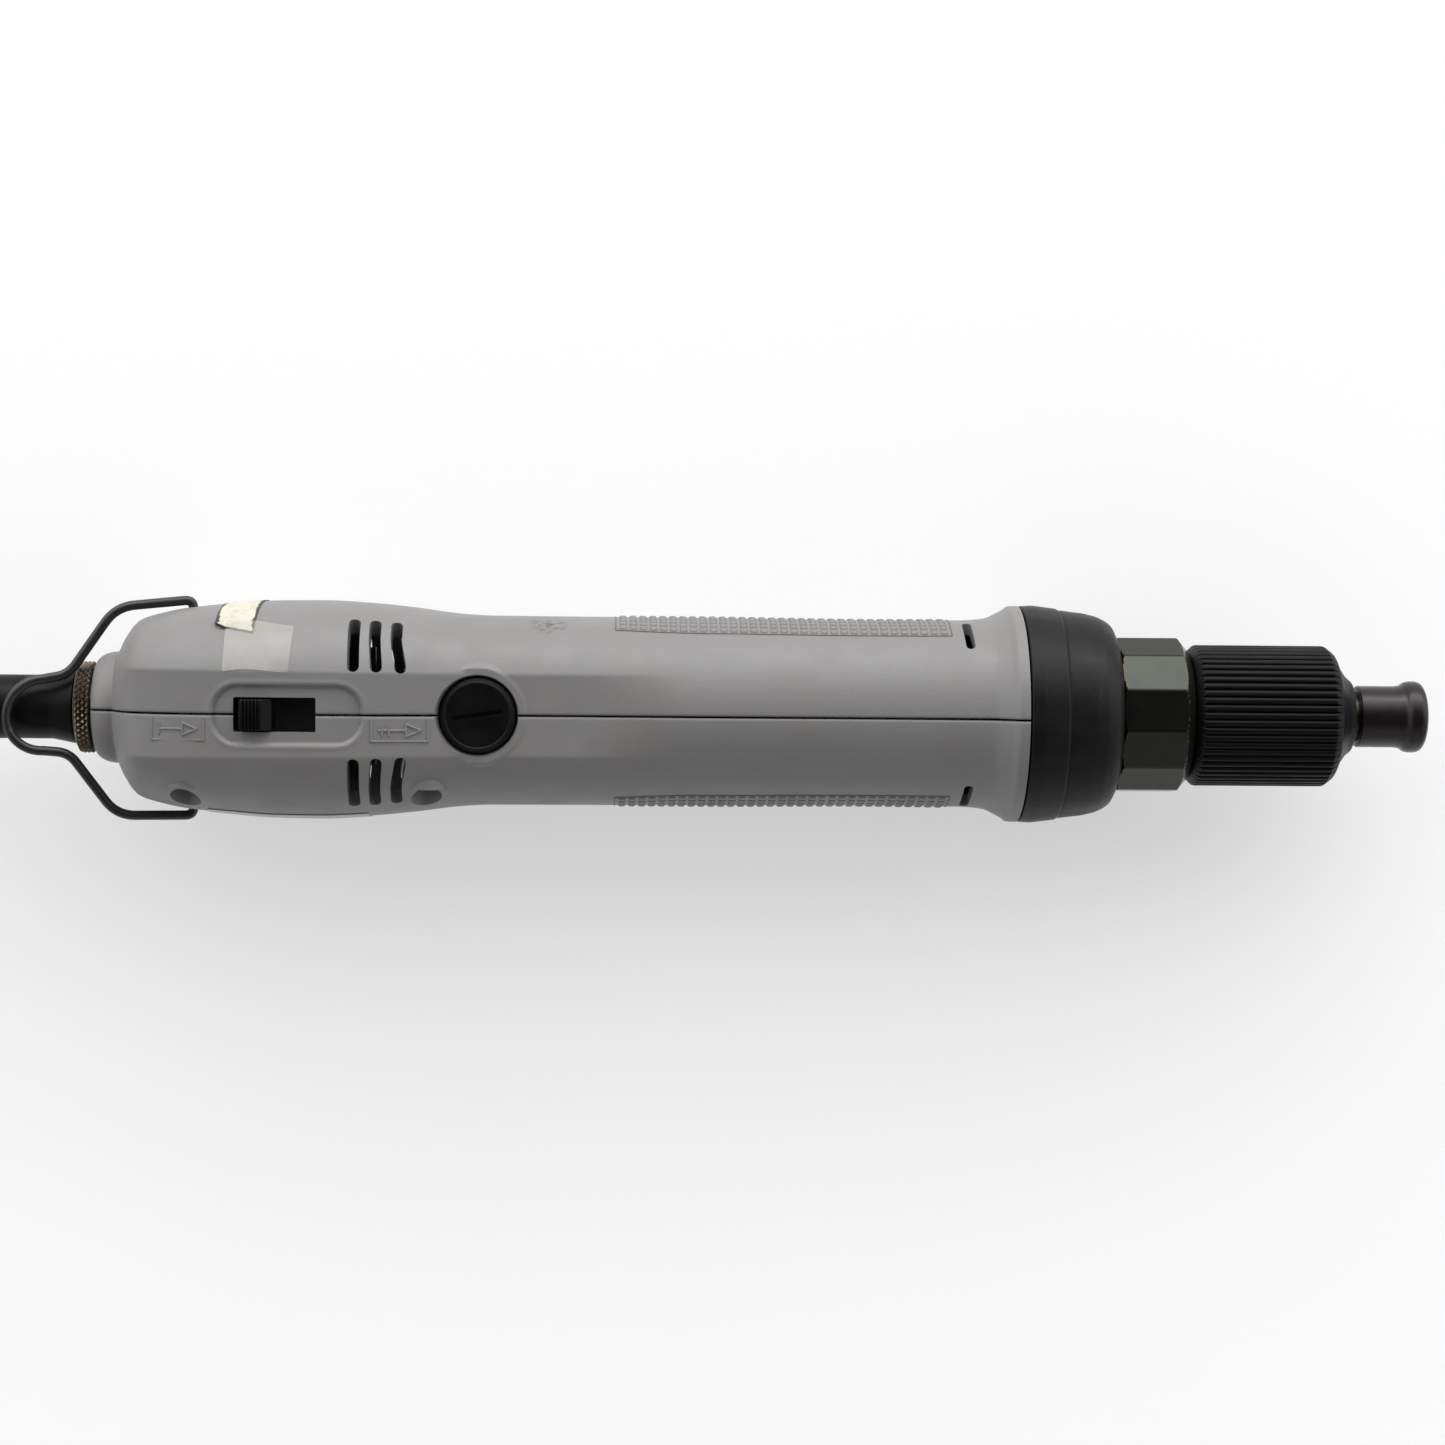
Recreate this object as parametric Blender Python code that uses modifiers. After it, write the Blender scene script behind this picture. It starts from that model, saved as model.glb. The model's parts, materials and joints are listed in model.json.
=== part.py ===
"""In-line electric torque screwdriver with its lead, modelled in metres, +Z up.

The tool lies on the plane Z = 0 with its axis along X: the bit end points to +X, the forward/reverse
switch faces +Z. Stations are millimetres along the axis, counted from the rear face of the housing.
"""
import math

import bmesh
import bpy
from mathutils import Euler, Matrix, Vector

MM = 0.001

# Whole tool
AXIS_HEIGHT = 20.1          # the front cover's radius: the tool lies on it
BAIL_REACH = 33.4           # pivot to the far side of the hanging loop, wire centre
BAIL_TILT = math.radians(13.5)
BAIL_PIVOT = 17.4           # station
WIRE_RADIUS = 0.88
SLEEVE_FRONT = 244.4        # station of the tip
BAIL_REAR = BAIL_PIVOT - BAIL_REACH * math.cos(BAIL_TILT) - WIRE_RADIUS
ORIGIN_STATION = (BAIL_REAR + SLEEVE_FRONT) / 2.0
GAP = 0.3                   # between pieces that touch

# Housing
HOUSING_FRONT = 168.6
WALL = 2.2
SEAM_HALF = 0.15
BORE_REAR = 6.7             # hole for the connector in the rear collar
COLLAR_LENGTH = 3.9
COLLAR_RADII = (7.8, 10.2)
HOUSING_OUTLINE = [
    (4.3, 10.6), (5.4, 12.8), (8.1, 16.1), (10.9, 17.1), (16.5, 18.3), (24.8, 19.2), (33.0, 19.8),
    (41.5, 19.9), (49.8, 19.5), (58.1, 18.7), (66.5, 17.65), (72.0, 17.35), (92.0, 17.3), (110.0, 17.3),
    (139.0, 17.1), (158.0, 17.25), (162.4, 17.6), (165.0, 18.9), (167.0, 19.8), (HOUSING_FRONT, 20.0),
]
BULGE_HEIGHT = 1.065        # height over width of the rear body
BULGE_POWER = 2.22          # squareness of the rear body's section
STRIP_HALF = (7.9, 7.33)    # half-width of the flat strip at the rear and at the brush caps
STRIP_FULL = 85.0           # the strip is flat up to here and has faded out at STRIP_END
STRIP_END = 110.0
ARC_SEGMENTS = 8

# Switch, vents, brushes and screws
SWITCH_REAR, SWITCH_FRONT = 26.9, 41.5
SWITCH_HALF_WIDTH = 3.1
RECESS_REAR, RECESS_FRONT = 23.0, 49.9
RECESS_HALF_WIDTH = 5.45
RECESS_DEPTH = 0.8
VENT_STATIONS = (47.9, 51.6, 55.4)
VENT_WIDTH = 1.9
VENT_ANGLE, VENT_LENGTH = math.radians(38.0), 11.4
SLOT_STATION, SLOT_WIDTH = 158.6, 1.6
SLOT_ANGLE, SLOT_LENGTH = math.radians(62.0), 8.0
BRUSH_STATION = 70.0
CAP_RADIUS, CAP_TOP = 6.75, 18.2
BOSS_RADIUS, BOSS_TOP = 8.85, 17.1
SCREWS = [(17.5, 11.3), (17.5, -11.3), (60.7, 12.0), (60.7, -12.0)]     # station, height from the axis
SCREW_BOSS = 4.0
COUNTERBORE = 2.75

# Motor and gears
GEAR_MODULE = 0.5
SUN_TEETH, PLANET_TEETH, RING_TEETH = 12, 18, 48
PLANET_ORBIT = GEAR_MODULE * (SUN_TEETH + PLANET_TEETH) / 2.0
PLANETS = 3
GEAR_REAR, GEAR_FRONT = 141.0, 149.0
PIN_RADIUS = 1.2

# Front end
FLATS = 12                  # wrench flats round the clutch housing
FLATS_RADIUS = 14.55        # over the corners between them
FLATS_REAR, FLATS_FRONT = 186.7, 198.0
FLATS_CORNER = math.radians(8.2)
NUT_REAR, NUT_FRONT = 200.2, 231.5
NUT_RADIUS = 13.05
BIT_ACROSS_FLATS = 6.35
SPINDLE_FRONT = 243.0

# Lead
CABLE_RADIUS = 2.75
HANK_REAR, HANK_FRONT = -212.0, -72.0
HANK_INNER = 16.5           # inner radius of the folds
HANK_BOTTOM = 1.1
HANK_HEIGHT = 16.5
HANK_OUTER = HANK_INNER + 4.0 * CABLE_RADIUS
HANK_RUN = HANK_INNER + 2.0 * CABLE_RADIUS       # middle of the two turns that lie side by side
TIE_STATION = -132.0
FAR_PLUG_FRONT = -120.0     # the far plug lies on the hank, leaning back from its coupling nut
FAR_PLUG_LEAN = math.radians(4.2)
FAR_PLUG_HEIGHT = HANK_BOTTOM + HANK_HEIGHT + 8.6
TOP_LAY = HANK_BOTTOM + HANK_HEIGHT + CABLE_RADIUS + GAP

ALONG_TOOL = (math.pi / 2.0, 0.0, math.pi / 2.0)     # local X, Y, Z become world Y, Z, X
PLAIN_SIDES = 20                                      # sides of a plain turned piece
UNALIGNED = math.radians(2.0)                         # keeps the facets of coaxial cuts off each other


def world_x(station):
    return (station - ORIGIN_STATION) * MM


def clear_scene():
    for obj in list(bpy.data.objects):
        bpy.data.objects.remove(obj, do_unlink=True)


def new_collection(name):
    collection = bpy.data.collections.new(name)
    bpy.context.scene.collection.children.link(collection)
    return collection


def principled(name, colour, roughness, metallic=0.0):
    material = bpy.data.materials.new(name)
    material.use_nodes = True
    shader = material.node_tree.nodes["Principled BSDF"]
    shader.inputs["Base Color"].default_value = (*colour, 1.0)
    shader.inputs["Roughness"].default_value = roughness
    shader.inputs["Metallic"].default_value = metallic
    return material


clear_scene()
PARTS = new_collection("torque_screwdriver")
CUTTERS = new_collection("cutters")
MATERIALS = {
    "grey_plastic": principled("grey_plastic", (0.36, 0.36, 0.355), 0.5),
    "black_cover": principled("black_cover", (0.035, 0.036, 0.042), 0.4),
    "black_plastic": principled("black_plastic", (0.012, 0.012, 0.014), 0.4),
    "dark_steel": principled("dark_steel", (0.06, 0.065, 0.06), 0.3, 0.9),
    "black_steel": principled("black_steel", (0.015, 0.015, 0.015), 0.3, 0.6),
    "brown_steel": principled("brown_steel", (0.035, 0.027, 0.026), 0.3, 0.8),
    "knurled_brass": principled("knurled_brass", (0.25, 0.2, 0.15), 0.4, 1.0),
    "steel": principled("steel", (0.5, 0.5, 0.5), 0.3, 1.0),
    "brass": principled("brass", (0.6, 0.42, 0.16), 0.35, 1.0),
    "copper": principled("copper", (0.7, 0.3, 0.18), 0.35, 1.0),
    "bronze": principled("bronze", (0.42, 0.28, 0.14), 0.45, 1.0),
    "magnet": principled("magnet", (0.05, 0.05, 0.05), 0.6),
    "carbon": principled("carbon", (0.02, 0.02, 0.02), 0.7),
    "board_green": principled("board_green", (0.02, 0.16, 0.06), 0.5),
    "black_rubber": principled("black_rubber", (0.02, 0.02, 0.022), 0.6),
}


def register(obj, material):
    PARTS.objects.link(obj)
    if material:
        obj.data.materials.append(MATERIALS[material])
    if obj.type == "MESH":
        obj.data.shade_smooth()
        obj.data.set_sharp_from_angle(angle=math.radians(35.0))
    return obj


def as_cutter(obj):
    """Move a helper shape to the cutters' collection, where it is neither built nor rendered."""
    if obj.name in PARTS.objects:
        PARTS.objects.unlink(obj)
    if obj.name not in CUTTERS.objects:
        CUTTERS.objects.link(obj)
    obj.hide_render = True
    obj.display_type = "WIRE"
    return obj


def combine(obj, other, operation):
    modifier = obj.modifiers.new(f"{operation.lower()}_{other.name}", "BOOLEAN")
    modifier.operation = operation
    modifier.solver = "EXACT"
    modifier.object = other
    return obj


def place_on_axis(obj, station=0.0):
    obj.location = (world_x(station), 0.0, AXIS_HEIGHT * MM)
    obj.rotation_euler = ALONG_TOOL
    return obj


def turned_mesh(name, outer, bore):
    """A closed profile, or one that ends on the axis. outer and bore run from low to high."""
    points = [(radius, along) for along, radius in reversed(outer)]
    if bore:
        points += [(radius, along) for along, radius in bore]
    else:
        points = [(0.0, outer[-1][0])] + points + [(0.0, outer[0][0])]
    mesh = bpy.data.meshes.new(name)
    vertices = [(radius * MM, 0.0, along * MM) for radius, along in points]
    edges = [(i, i + 1) for i in range(len(points) - 1)]
    if bore:
        edges.append((len(points) - 1, 0))
    mesh.from_pydata(vertices, edges, [])
    return mesh


def turned(name, material, outer, bore=(), sides=PLAIN_SIDES):
    """A turned piece on the tool's axis; outer and bore are (station, radius) from rear to front."""
    obj = bpy.data.objects.new(name, turned_mesh(name, outer, bore))
    screw = obj.modifiers.new("turn", "SCREW")
    screw.axis = "Z"
    screw.angle = 2.0 * math.pi
    screw.steps = sides
    screw.render_steps = sides
    screw.use_merge_vertices = True
    screw.merge_threshold = 0.00001
    screw.use_smooth_shade = True
    register(obj, material)
    return place_on_axis(obj)


def turned_across(name, material, outer, bore=(), sides=PLAIN_SIDES, station=0.0, turn=(0.0, 0.0, 0.0)):
    """A turned piece whose own axis starts from the tool's axis at a station; turn aims it."""
    obj = turned(name, material, outer, bore, sides)
    obj.location = (world_x(station), 0.0, AXIS_HEIGHT * MM)
    obj.rotation_euler = turn
    return obj


def box(name, material, low, high, station=0.0, turn=(0.0, 0.0, 0.0)):
    """A box given by two corners in millimetres from a point on the tool's axis."""
    mesh = bpy.data.meshes.new(name)
    shape = bmesh.new()
    bmesh.ops.create_cube(shape, size=1.0)
    size = Vector(high) - Vector(low)
    middle = (Vector(high) + Vector(low)) / 2.0
    bmesh.ops.scale(shape, vec=size * MM, verts=shape.verts)
    bmesh.ops.translate(shape, vec=middle * MM, verts=shape.verts)
    shape.to_mesh(mesh)
    shape.free()
    obj = bpy.data.objects.new(name, mesh)
    register(obj, material)
    obj.location = (world_x(station), 0.0, AXIS_HEIGHT * MM)
    obj.rotation_euler = turn
    return obj


def drill(name, radius, low, high, station, height, sides=12):
    """A cylindrical cutter along Y, from y = low to y = high millimetres."""
    mesh = bpy.data.meshes.new(name)
    shape = bmesh.new()
    bmesh.ops.create_cone(shape, cap_ends=True, segments=sides, radius1=radius * MM,
                          radius2=radius * MM, depth=(high - low) * MM)
    bmesh.ops.rotate(shape, matrix=Matrix.Rotation(math.pi / 2.0, 3, "X"), verts=shape.verts)
    bmesh.ops.translate(shape, vec=(0.0, (high + low) / 2.0 * MM, 0.0), verts=shape.verts)
    shape.to_mesh(mesh)
    shape.free()
    obj = bpy.data.objects.new(name, mesh)
    obj.location = (world_x(station), 0.0, (AXIS_HEIGHT + height) * MM)
    return as_cutter(obj)


def wire(name, material, points, radius, cyclic=False, resolution=2):
    """A round wire or cord through world points given in millimetres (station, y, height)."""
    curve = bpy.data.curves.new(name, "CURVE")
    curve.dimensions = "3D"
    curve.bevel_depth = radius * MM
    curve.bevel_resolution = resolution
    curve.use_fill_caps = True
    spline = curve.splines.new("POLY")
    spline.points.add(len(points) - 1)
    for point, (station, y, height) in zip(spline.points, points):
        point.co = (station * MM, y * MM, height * MM, 1.0)
    spline.use_cyclic_u = cyclic
    obj = bpy.data.objects.new(name, curve)
    PARTS.objects.link(obj)
    curve.materials.append(MATERIALS[material])
    return obj


def flat_shape(name, material, outlines, rear, front):
    """Flat outlines (outer first, then holes) in the plane across the axis, from rear to front."""
    curve = bpy.data.curves.new(name, "CURVE")
    curve.dimensions = "2D"
    curve.fill_mode = "BOTH"
    curve.extrude = (front - rear) / 2.0 * MM
    for outline in outlines:
        spline = curve.splines.new("POLY")
        spline.points.add(len(outline) - 1)
        for point, (across, up) in zip(spline.points, outline):
            point.co = (across * MM, up * MM, 0.0, 1.0)
        spline.use_cyclic_u = True
    obj = bpy.data.objects.new(name, curve)
    PARTS.objects.link(obj)
    curve.materials.append(MATERIALS[material])
    return place_on_axis(obj, (rear + front) / 2.0)


def to_mesh_object(obj):
    """Swap a curve object for a welded mesh of itself, so that it can be cut or joined."""
    graph = bpy.context.evaluated_depsgraph_get()
    mesh = bpy.data.meshes.new_from_object(obj.evaluated_get(graph))
    shape = bmesh.new()
    shape.from_mesh(mesh)
    bmesh.ops.remove_doubles(shape, verts=shape.verts, dist=0.000002)
    shape.to_mesh(mesh)
    shape.free()
    name = obj.name
    matrix = obj.matrix_world.copy()
    bpy.data.objects.remove(obj, do_unlink=True)
    solid = bpy.data.objects.new(name, mesh)
    PARTS.objects.link(solid)
    solid.matrix_world = matrix
    return solid


def circle(radius, sides, across=0.0, up=0.0):
    return [(across + radius * math.cos(2.0 * math.pi * i / sides),
             up + radius * math.sin(2.0 * math.pi * i / sides)) for i in range(sides)]


def coil_spring(name, material, radius, wire_radius, turns, rear, front, points_per_turn=7):
    """A compression spring on the tool's axis between two stations."""
    count = int(turns * points_per_turn) + 1
    low = rear + wire_radius
    high = front - wire_radius
    points = []
    for i in range(count):
        angle = 2.0 * math.pi * turns * i / (count - 1)
        points.append((radius * math.cos(angle), radius * math.sin(angle),
                       low + (high - low) * i / (count - 1)))
    return place_on_axis(wire(name, material, points, wire_radius, resolution=1))


# ---------------------------------------------------------------- housing

def smooth_step(value, low, high):
    share = min(max((value - low) / (high - low), 0.0), 1.0)
    return share * share * (3.0 - 2.0 * share)


def strip_share(station):
    return smooth_step(station, 4.3, 5.4) * (1.0 - smooth_step(station, STRIP_FULL, STRIP_END))


def housing_section(radius, station):
    """One closed section of the housing as (y, height) points, from +Z round by +Y and back by -Y."""
    share = strip_share(station)
    power = 2.0 + (BULGE_POWER - 2.0) * share
    height = radius * (1.0 + (BULGE_HEIGHT - 1.0) * share)
    along = min(max((station - 5.0) / (BRUSH_STATION - 5.0), 0.0), 1.0)
    strip = min(STRIP_HALF[0] + (STRIP_HALF[1] - STRIP_HALF[0]) * along, 0.6 * radius)
    start = math.acos((strip / radius) ** (power / 2.0))
    flat = height * math.sin(start) ** (2.0 / power)
    half = []
    for y in (0.0, strip / 2.0):
        curved = height * (1.0 - (y / radius) ** power) ** (1.0 / power)
        half.append((y, flat * share + curved * (1.0 - share)))
    for i in range(ARC_SEGMENTS + 1):
        angle = start * (1.0 - 2.0 * i / ARC_SEGMENTS)
        lift = math.copysign(abs(math.sin(angle)) ** (2.0 / power), angle)
        half.append((radius * math.cos(angle) ** (2.0 / power), height * lift))
    half += [(y, -z) for y, z in reversed(half[:2])]
    return half + [(-y, z) for y, z in reversed(half[1:-1])]


def collar_radius(station):
    """Quarter-round rear collar."""
    share = 1.0 - station / COLLAR_LENGTH
    return COLLAR_RADII[0] + (COLLAR_RADII[1] - COLLAR_RADII[0]) * math.sqrt(max(1.0 - share * share, 0.0))


def housing_stations():
    collar = [(s, collar_radius(s)) for s in (0.0, 0.5, 1.6, COLLAR_LENGTH)]
    return collar + HOUSING_OUTLINE


def housing_shell_mesh():
    """The whole housing as one shell, before it is split at the seam."""
    shape = bmesh.new()
    outer_rings = []
    inner_rings = []
    for station, radius in housing_stations():
        outer = housing_section(radius, station)
        if station <= 5.4:
            inner = housing_section(BORE_REAR, 0.0)
        else:
            inner = housing_section(radius - WALL, station)
        outer_rings.append([shape.verts.new((station * MM, y * MM, z * MM)) for y, z in outer])
        inner_rings.append([shape.verts.new((station * MM, y * MM, z * MM)) for y, z in inner])
    loops = outer_rings + inner_rings[::-1]
    count = len(loops[0])
    for first, second in zip(loops, loops[1:] + loops[:1]):
        for i in range(count):
            after = (i + 1) % count
            shape.faces.new((first[i], first[after], second[after], second[i]))
    bmesh.ops.recalc_face_normals(shape, faces=shape.faces)
    mesh = bpy.data.meshes.new("housing_shell")
    shape.to_mesh(mesh)
    shape.free()
    return mesh


def brush_bosses():
    bosses = []
    for name, turn in (("boss_top", 0.0), ("boss_bottom", math.pi)):
        outer = [(12.6, BOSS_RADIUS), (BOSS_TOP, BOSS_RADIUS)]
        boss = turned_across(name, None, outer, (), 26, BRUSH_STATION, (turn, 0.0, UNALIGNED))
        bosses.append(as_cutter(boss))
    return bosses


def screw_bosses():
    return [drill(f"screw_boss_{i}", SCREW_BOSS, -10.5, 10.5, station, height)
            for i, (station, height) in enumerate(SCREWS)]


def vent_cutters():
    """The cooling slots: three in each quarter at the rear, one in each quarter at the front."""
    rows = [(s, VENT_WIDTH, VENT_ANGLE, VENT_LENGTH, 16.0) for s in VENT_STATIONS]
    rows.append((SLOT_STATION, SLOT_WIDTH, SLOT_ANGLE, SLOT_LENGTH, 13.5))
    cutters = []
    for station, width, angle, length, inside in rows:
        for side in (-1.0, 1.0):
            for face in (0.0, math.pi):
                name = f"vent_{station:.0f}_{side:.0f}_{face:.0f}"
                low = (-width / 2.0, -length / 2.0, inside)
                high = (width / 2.0, length / 2.0, 26.0)
                cutter = box(name, None, low, high, station, (face + side * angle, 0.0, 0.0))
                cutters.append(as_cutter(cutter))
    return cutters


def switch_cutters():
    low = (SWITCH_REAR, -SWITCH_HALF_WIDTH, 14.9)
    opening = box("switch_opening", None, low, (SWITCH_FRONT, SWITCH_HALF_WIDTH, 30.0))
    floor = 20.0 - RECESS_DEPTH
    recess = box("switch_recess", None, (RECESS_REAR, -RECESS_HALF_WIDTH, floor),
                 (RECESS_FRONT, RECESS_HALF_WIDTH, 30.0))
    return [as_cutter(opening), as_cutter(recess)]


def hole_cutters():
    cutters = []
    for name, turn in (("cap_hole_top", 0.0), ("cap_hole_bottom", math.pi)):
        outer = [(7.9, CAP_RADIUS + 0.35), (30.0, CAP_RADIUS + 0.35)]
        hole = turned_across(name, None, outer, (), 20, BRUSH_STATION, (turn, 0.0, -UNALIGNED))
        cutters.append(as_cutter(hole))
    for i, (station, height) in enumerate(SCREWS):
        cutters.append(drill(f"counterbore_{i}", COUNTERBORE, -30.0, -9.0, station, height))
        cutters.append(drill(f"screw_hole_{i}", 1.5, -9.5, 8.6, station, height, sides=10))
    cutters.append(drill("bail_hole_left", 1.25, 13.0, 25.0, BAIL_PIVOT, 0.0, sides=10))
    cutters.append(drill("bail_hole_right", 1.25, -25.0, -13.0, BAIL_PIVOT, 0.0, sides=10))
    return cutters


def make_housing():
    mesh = housing_shell_mesh()
    additions = brush_bosses() + screw_bosses()
    cutters = switch_cutters() + vent_cutters() + hole_cutters()
    for name, side in (("housing_half_left", 1.0), ("housing_half_right", -1.0)):
        half = bpy.data.objects.new(name, mesh.copy())
        register(half, "grey_plastic")
        half.location = (world_x(0.0), 0.0, AXIS_HEIGHT * MM)
        for addition in additions:
            combine(half, addition, "UNION")
        for cutter in cutters:
            combine(half, cutter, "DIFFERENCE")
        near, far = sorted((side * SEAM_HALF, side * 40.0))
        keep = box(f"keep_{name}", None, (-5.0, near, -40.0), (175.0, far, 40.0))
        combine(half, as_cutter(keep), "INTERSECT")


def make_screws():
    for i, (station, height) in enumerate(SCREWS, start=1):
        outer = [(-8.2, 1.2), (9.3, 1.2), (9.3, 2.45), (11.0, 2.45), (11.4, 1.9)]
        screw = turned(f"housing_screw_{i}", "steel", outer, sides=10)
        cross = as_cutter(box(f"cross_{i}", None, (-0.4, -1.5, 10.4), (0.4, 1.5, 13.0)))
        screw.location = (world_x(station), 0.0, (AXIS_HEIGHT + height) * MM)
        screw.rotation_euler = (math.pi / 2.0, 0.0, 0.0)
        cross.location = screw.location
        cross.rotation_euler = screw.rotation_euler
        combine(screw, cross, "DIFFERENCE")


# ---------------------------------------------------------------- rear end

def make_connector_socket():
    outer = [(-2.9, 6.3), (8.5, 6.3), (8.5, 9.5), (10.0, 9.5), (10.0, 6.3), (16.0, 6.3)]
    bore = [(-2.9, 5.3), (12.0, 5.3), (12.0, 3.0), (16.0, 3.0)]
    turned("connector_socket", "steel", outer, bore)


def rounded_path(corners, radius, steps=5):
    """Points through the corners, each inner corner replaced by an arc of about the given radius."""
    path = [Vector(corners[0])]
    for before, corner, after in zip(corners, corners[1:], corners[2:]):
        corner = Vector(corner)
        back = (Vector(before) - corner).normalized()
        ahead = (Vector(after) - corner).normalized()
        half = back.angle(ahead) / 2.0
        reach = radius / math.tan(half)
        for i in range(steps + 1):
            share = i / steps
            start = corner + back * reach
            end = corner + ahead * reach
            path.append(start * (1.0 - share) ** 2 + corner * 2.0 * share * (1.0 - share) + end * share ** 2)
    return path + [Vector(corners[-1])]


def bail_points():
    """Wire centre in the loop's own plane: distance behind the pivot, and y, then tilted up."""
    loop_radius = 6.5
    loop_centre = BAIL_REACH - loop_radius
    legs = [(0.0, 15.2), (0.0, 19.75), (13.9, 19.0), (22.4, 7.1), (loop_centre, loop_radius)]
    left = [p.to_tuple() for p in rounded_path([(d, y, 0.0) for d, y in legs], 2.0)]
    arc = []
    for i in range(1, 12):
        angle = math.pi / 2.0 - math.pi * i / 12.0
        arc.append((loop_centre + loop_radius * math.cos(angle), loop_radius * math.sin(angle), 0.0))
    right = [(d, -y, 0.0) for d, y, _ in reversed(left)]
    points = []
    for distance, y, _ in left + arc + right:
        skewed = y - 1.4 * distance / BAIL_REACH
        points.append((-distance * math.cos(BAIL_TILT), skewed, distance * math.sin(BAIL_TILT)))
    return points


def make_bail():
    bail = wire("hanging_bail", "black_steel", bail_points(), WIRE_RADIUS)
    bail.location = (world_x(BAIL_PIVOT), 0.0, AXIS_HEIGHT * MM)


def make_electrics():
    box("circuit_board", "board_green", (23.0, -11.0, -9.2), (50.0, 11.0, -8.0))
    box("start_switch", "black_plastic", (23.0, -3.2, -7.5), (38.5, 3.2, 4.5))
    box("direction_switch_body", "black_plastic", (25.0, -4.2, 8.0), (43.5, 4.2, 14.3))
    base = box("direction_slider", "black_plastic", (28.1, -2.75, 14.7), (33.8, 2.75, 20.9))
    for i in range(5):
        groove = box(f"rib_groove_{i}", None, (28.9 + i * 0.9, -4.0, 20.5), (29.3 + i * 0.9, 4.0, 22.0))
        combine(base, as_cutter(groove), "DIFFERENCE")


# ---------------------------------------------------------------- brushes and motor

def make_brushes():
    for side, turn in (("top", 0.0), ("bottom", math.pi)):
        aim = (turn, 0.0, 0.0)
        cap = turned_across(f"brush_cap_{side}", "black_plastic",
                            [(13.8, CAP_RADIUS), (17.3, CAP_RADIUS), (CAP_TOP, 5.9)],
                            station=BRUSH_STATION, turn=aim)
        cup = turned_across(f"cap_cup_{side}", None, [(12.0, 5.2), (16.7, 5.2)],
                            station=BRUSH_STATION, turn=aim)
        slot = box(f"cap_slot_{side}", None, (-4.6, -0.6, CAP_TOP - 0.9), (4.6, 0.6, 22.0),
                   BRUSH_STATION, (turn, 0.0, math.radians(9.0)))
        combine(cap, as_cutter(cup), "DIFFERENCE")
        combine(cap, as_cutter(slot), "DIFFERENCE")
        turned_across(f"brush_holder_{side}", "brass",
                      [(8.0, 4.1), (12.5, 4.1), (12.5, 4.8), (13.4, 4.8), (13.4, 4.1), (15.8, 4.1)],
                      [(8.0, 3.5), (15.8, 3.5)], 16, BRUSH_STATION, aim)
        box(f"carbon_brush_{side}", "carbon", (-2.2, -2.2, 7.3), (2.2, 2.2, 12.2), BRUSH_STATION, aim)
        spring = coil_spring(f"brush_spring_{side}", "steel", 1.9, 0.3, 3.5, 12.5, 16.4)
        spring.location = (world_x(BRUSH_STATION), 0.0, AXIS_HEIGHT * MM)
        spring.rotation_euler = aim


def magnet_outline(inner, outer, side):
    """An arc of sixty degrees each way about +Y or -Y."""
    reach = math.radians(60.0)
    steps = 10
    arc = [reach * (2.0 * i / steps - 1.0) for i in range(steps + 1)]
    points = [(side * outer * math.cos(a), outer * math.sin(a)) for a in arc]
    return points + [(side * inner * math.cos(a), inner * math.sin(a)) for a in reversed(arc)]


def gear_outline(teeth, outward=True):
    """Trapezoidal teeth with running clearance; tooth number one stands at angle zero."""
    pitch_radius = GEAR_MODULE * teeth / 2.0
    sign = 1.0 if outward else -1.0
    tip = pitch_radius + sign * 0.8 * GEAR_MODULE
    root = pitch_radius - sign * 1.25 * GEAR_MODULE
    pitch = 2.0 * math.pi / teeth
    points = []
    for i in range(teeth):
        middle = i * pitch
        for share, radius in ((-0.27, root), (-0.12, tip), (0.12, tip), (0.27, root)):
            angle = middle + share * pitch
            points.append((radius * math.cos(angle), radius * math.sin(angle)))
    return points


def make_motor():
    turned("motor_can", "steel", [(80.0, 14.3), (133.6, 14.3)], [(80.0, 13.1), (133.6, 13.1)])
    for name, side in (("magnet_left", 1.0), ("magnet_right", -1.0)):
        flat_shape(name, "magnet", [magnet_outline(11.2, 12.8, side)], 86.0, 130.0)
    turned("armature_core", "copper", [(85.0, 7.5), (88.0, 10.4), (124.0, 10.4), (128.0, 7.5)],
           [(85.0, 2.8), (128.0, 2.8)])
    turned("commutator", "copper", [(64.9, 6.9), (75.2, 6.9), (75.2, 7.2), (76.4, 7.2)],
           [(64.9, 2.8), (76.4, 2.8)])
    shaft = turned("rotor_shaft", "steel", [(55.5, 2.5), (139.6, 2.5)], sides=20)
    pinion = flat_shape("pinion", "steel", [gear_outline(SUN_TEETH)], 139.0, GEAR_FRONT + 0.4)
    combine(shaft, as_cutter(to_mesh_object(pinion)), "UNION")
    bore = as_cutter(turned("shaft_bore", None, [(50.0, 1.0), (155.0, 1.0)], sides=12))
    combine(shaft, bore, "DIFFERENCE")
    turned("rear_bearing", "steel", [(57.0, 6.5), (61.5, 6.5)], [(57.0, 2.8), (61.5, 2.8)], 24)
    turned("bearing_holder", "black_plastic", [(55.8, 7.5), (62.5, 7.5)],
           [(55.8, 5.5), (56.7, 5.5), (56.7, 6.8), (62.5, 6.8)], 24)
    turned("front_bearing", "steel", [(134.6, 6.5), (138.4, 6.5)], [(134.6, 2.8), (138.4, 2.8)], 24)
    turned("gear_plate", "steel", [(134.0, 14.3), (138.6, 14.3)], [(134.0, 6.8), (138.6, 6.8)])


# ---------------------------------------------------------------- gearbox and clutch

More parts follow.
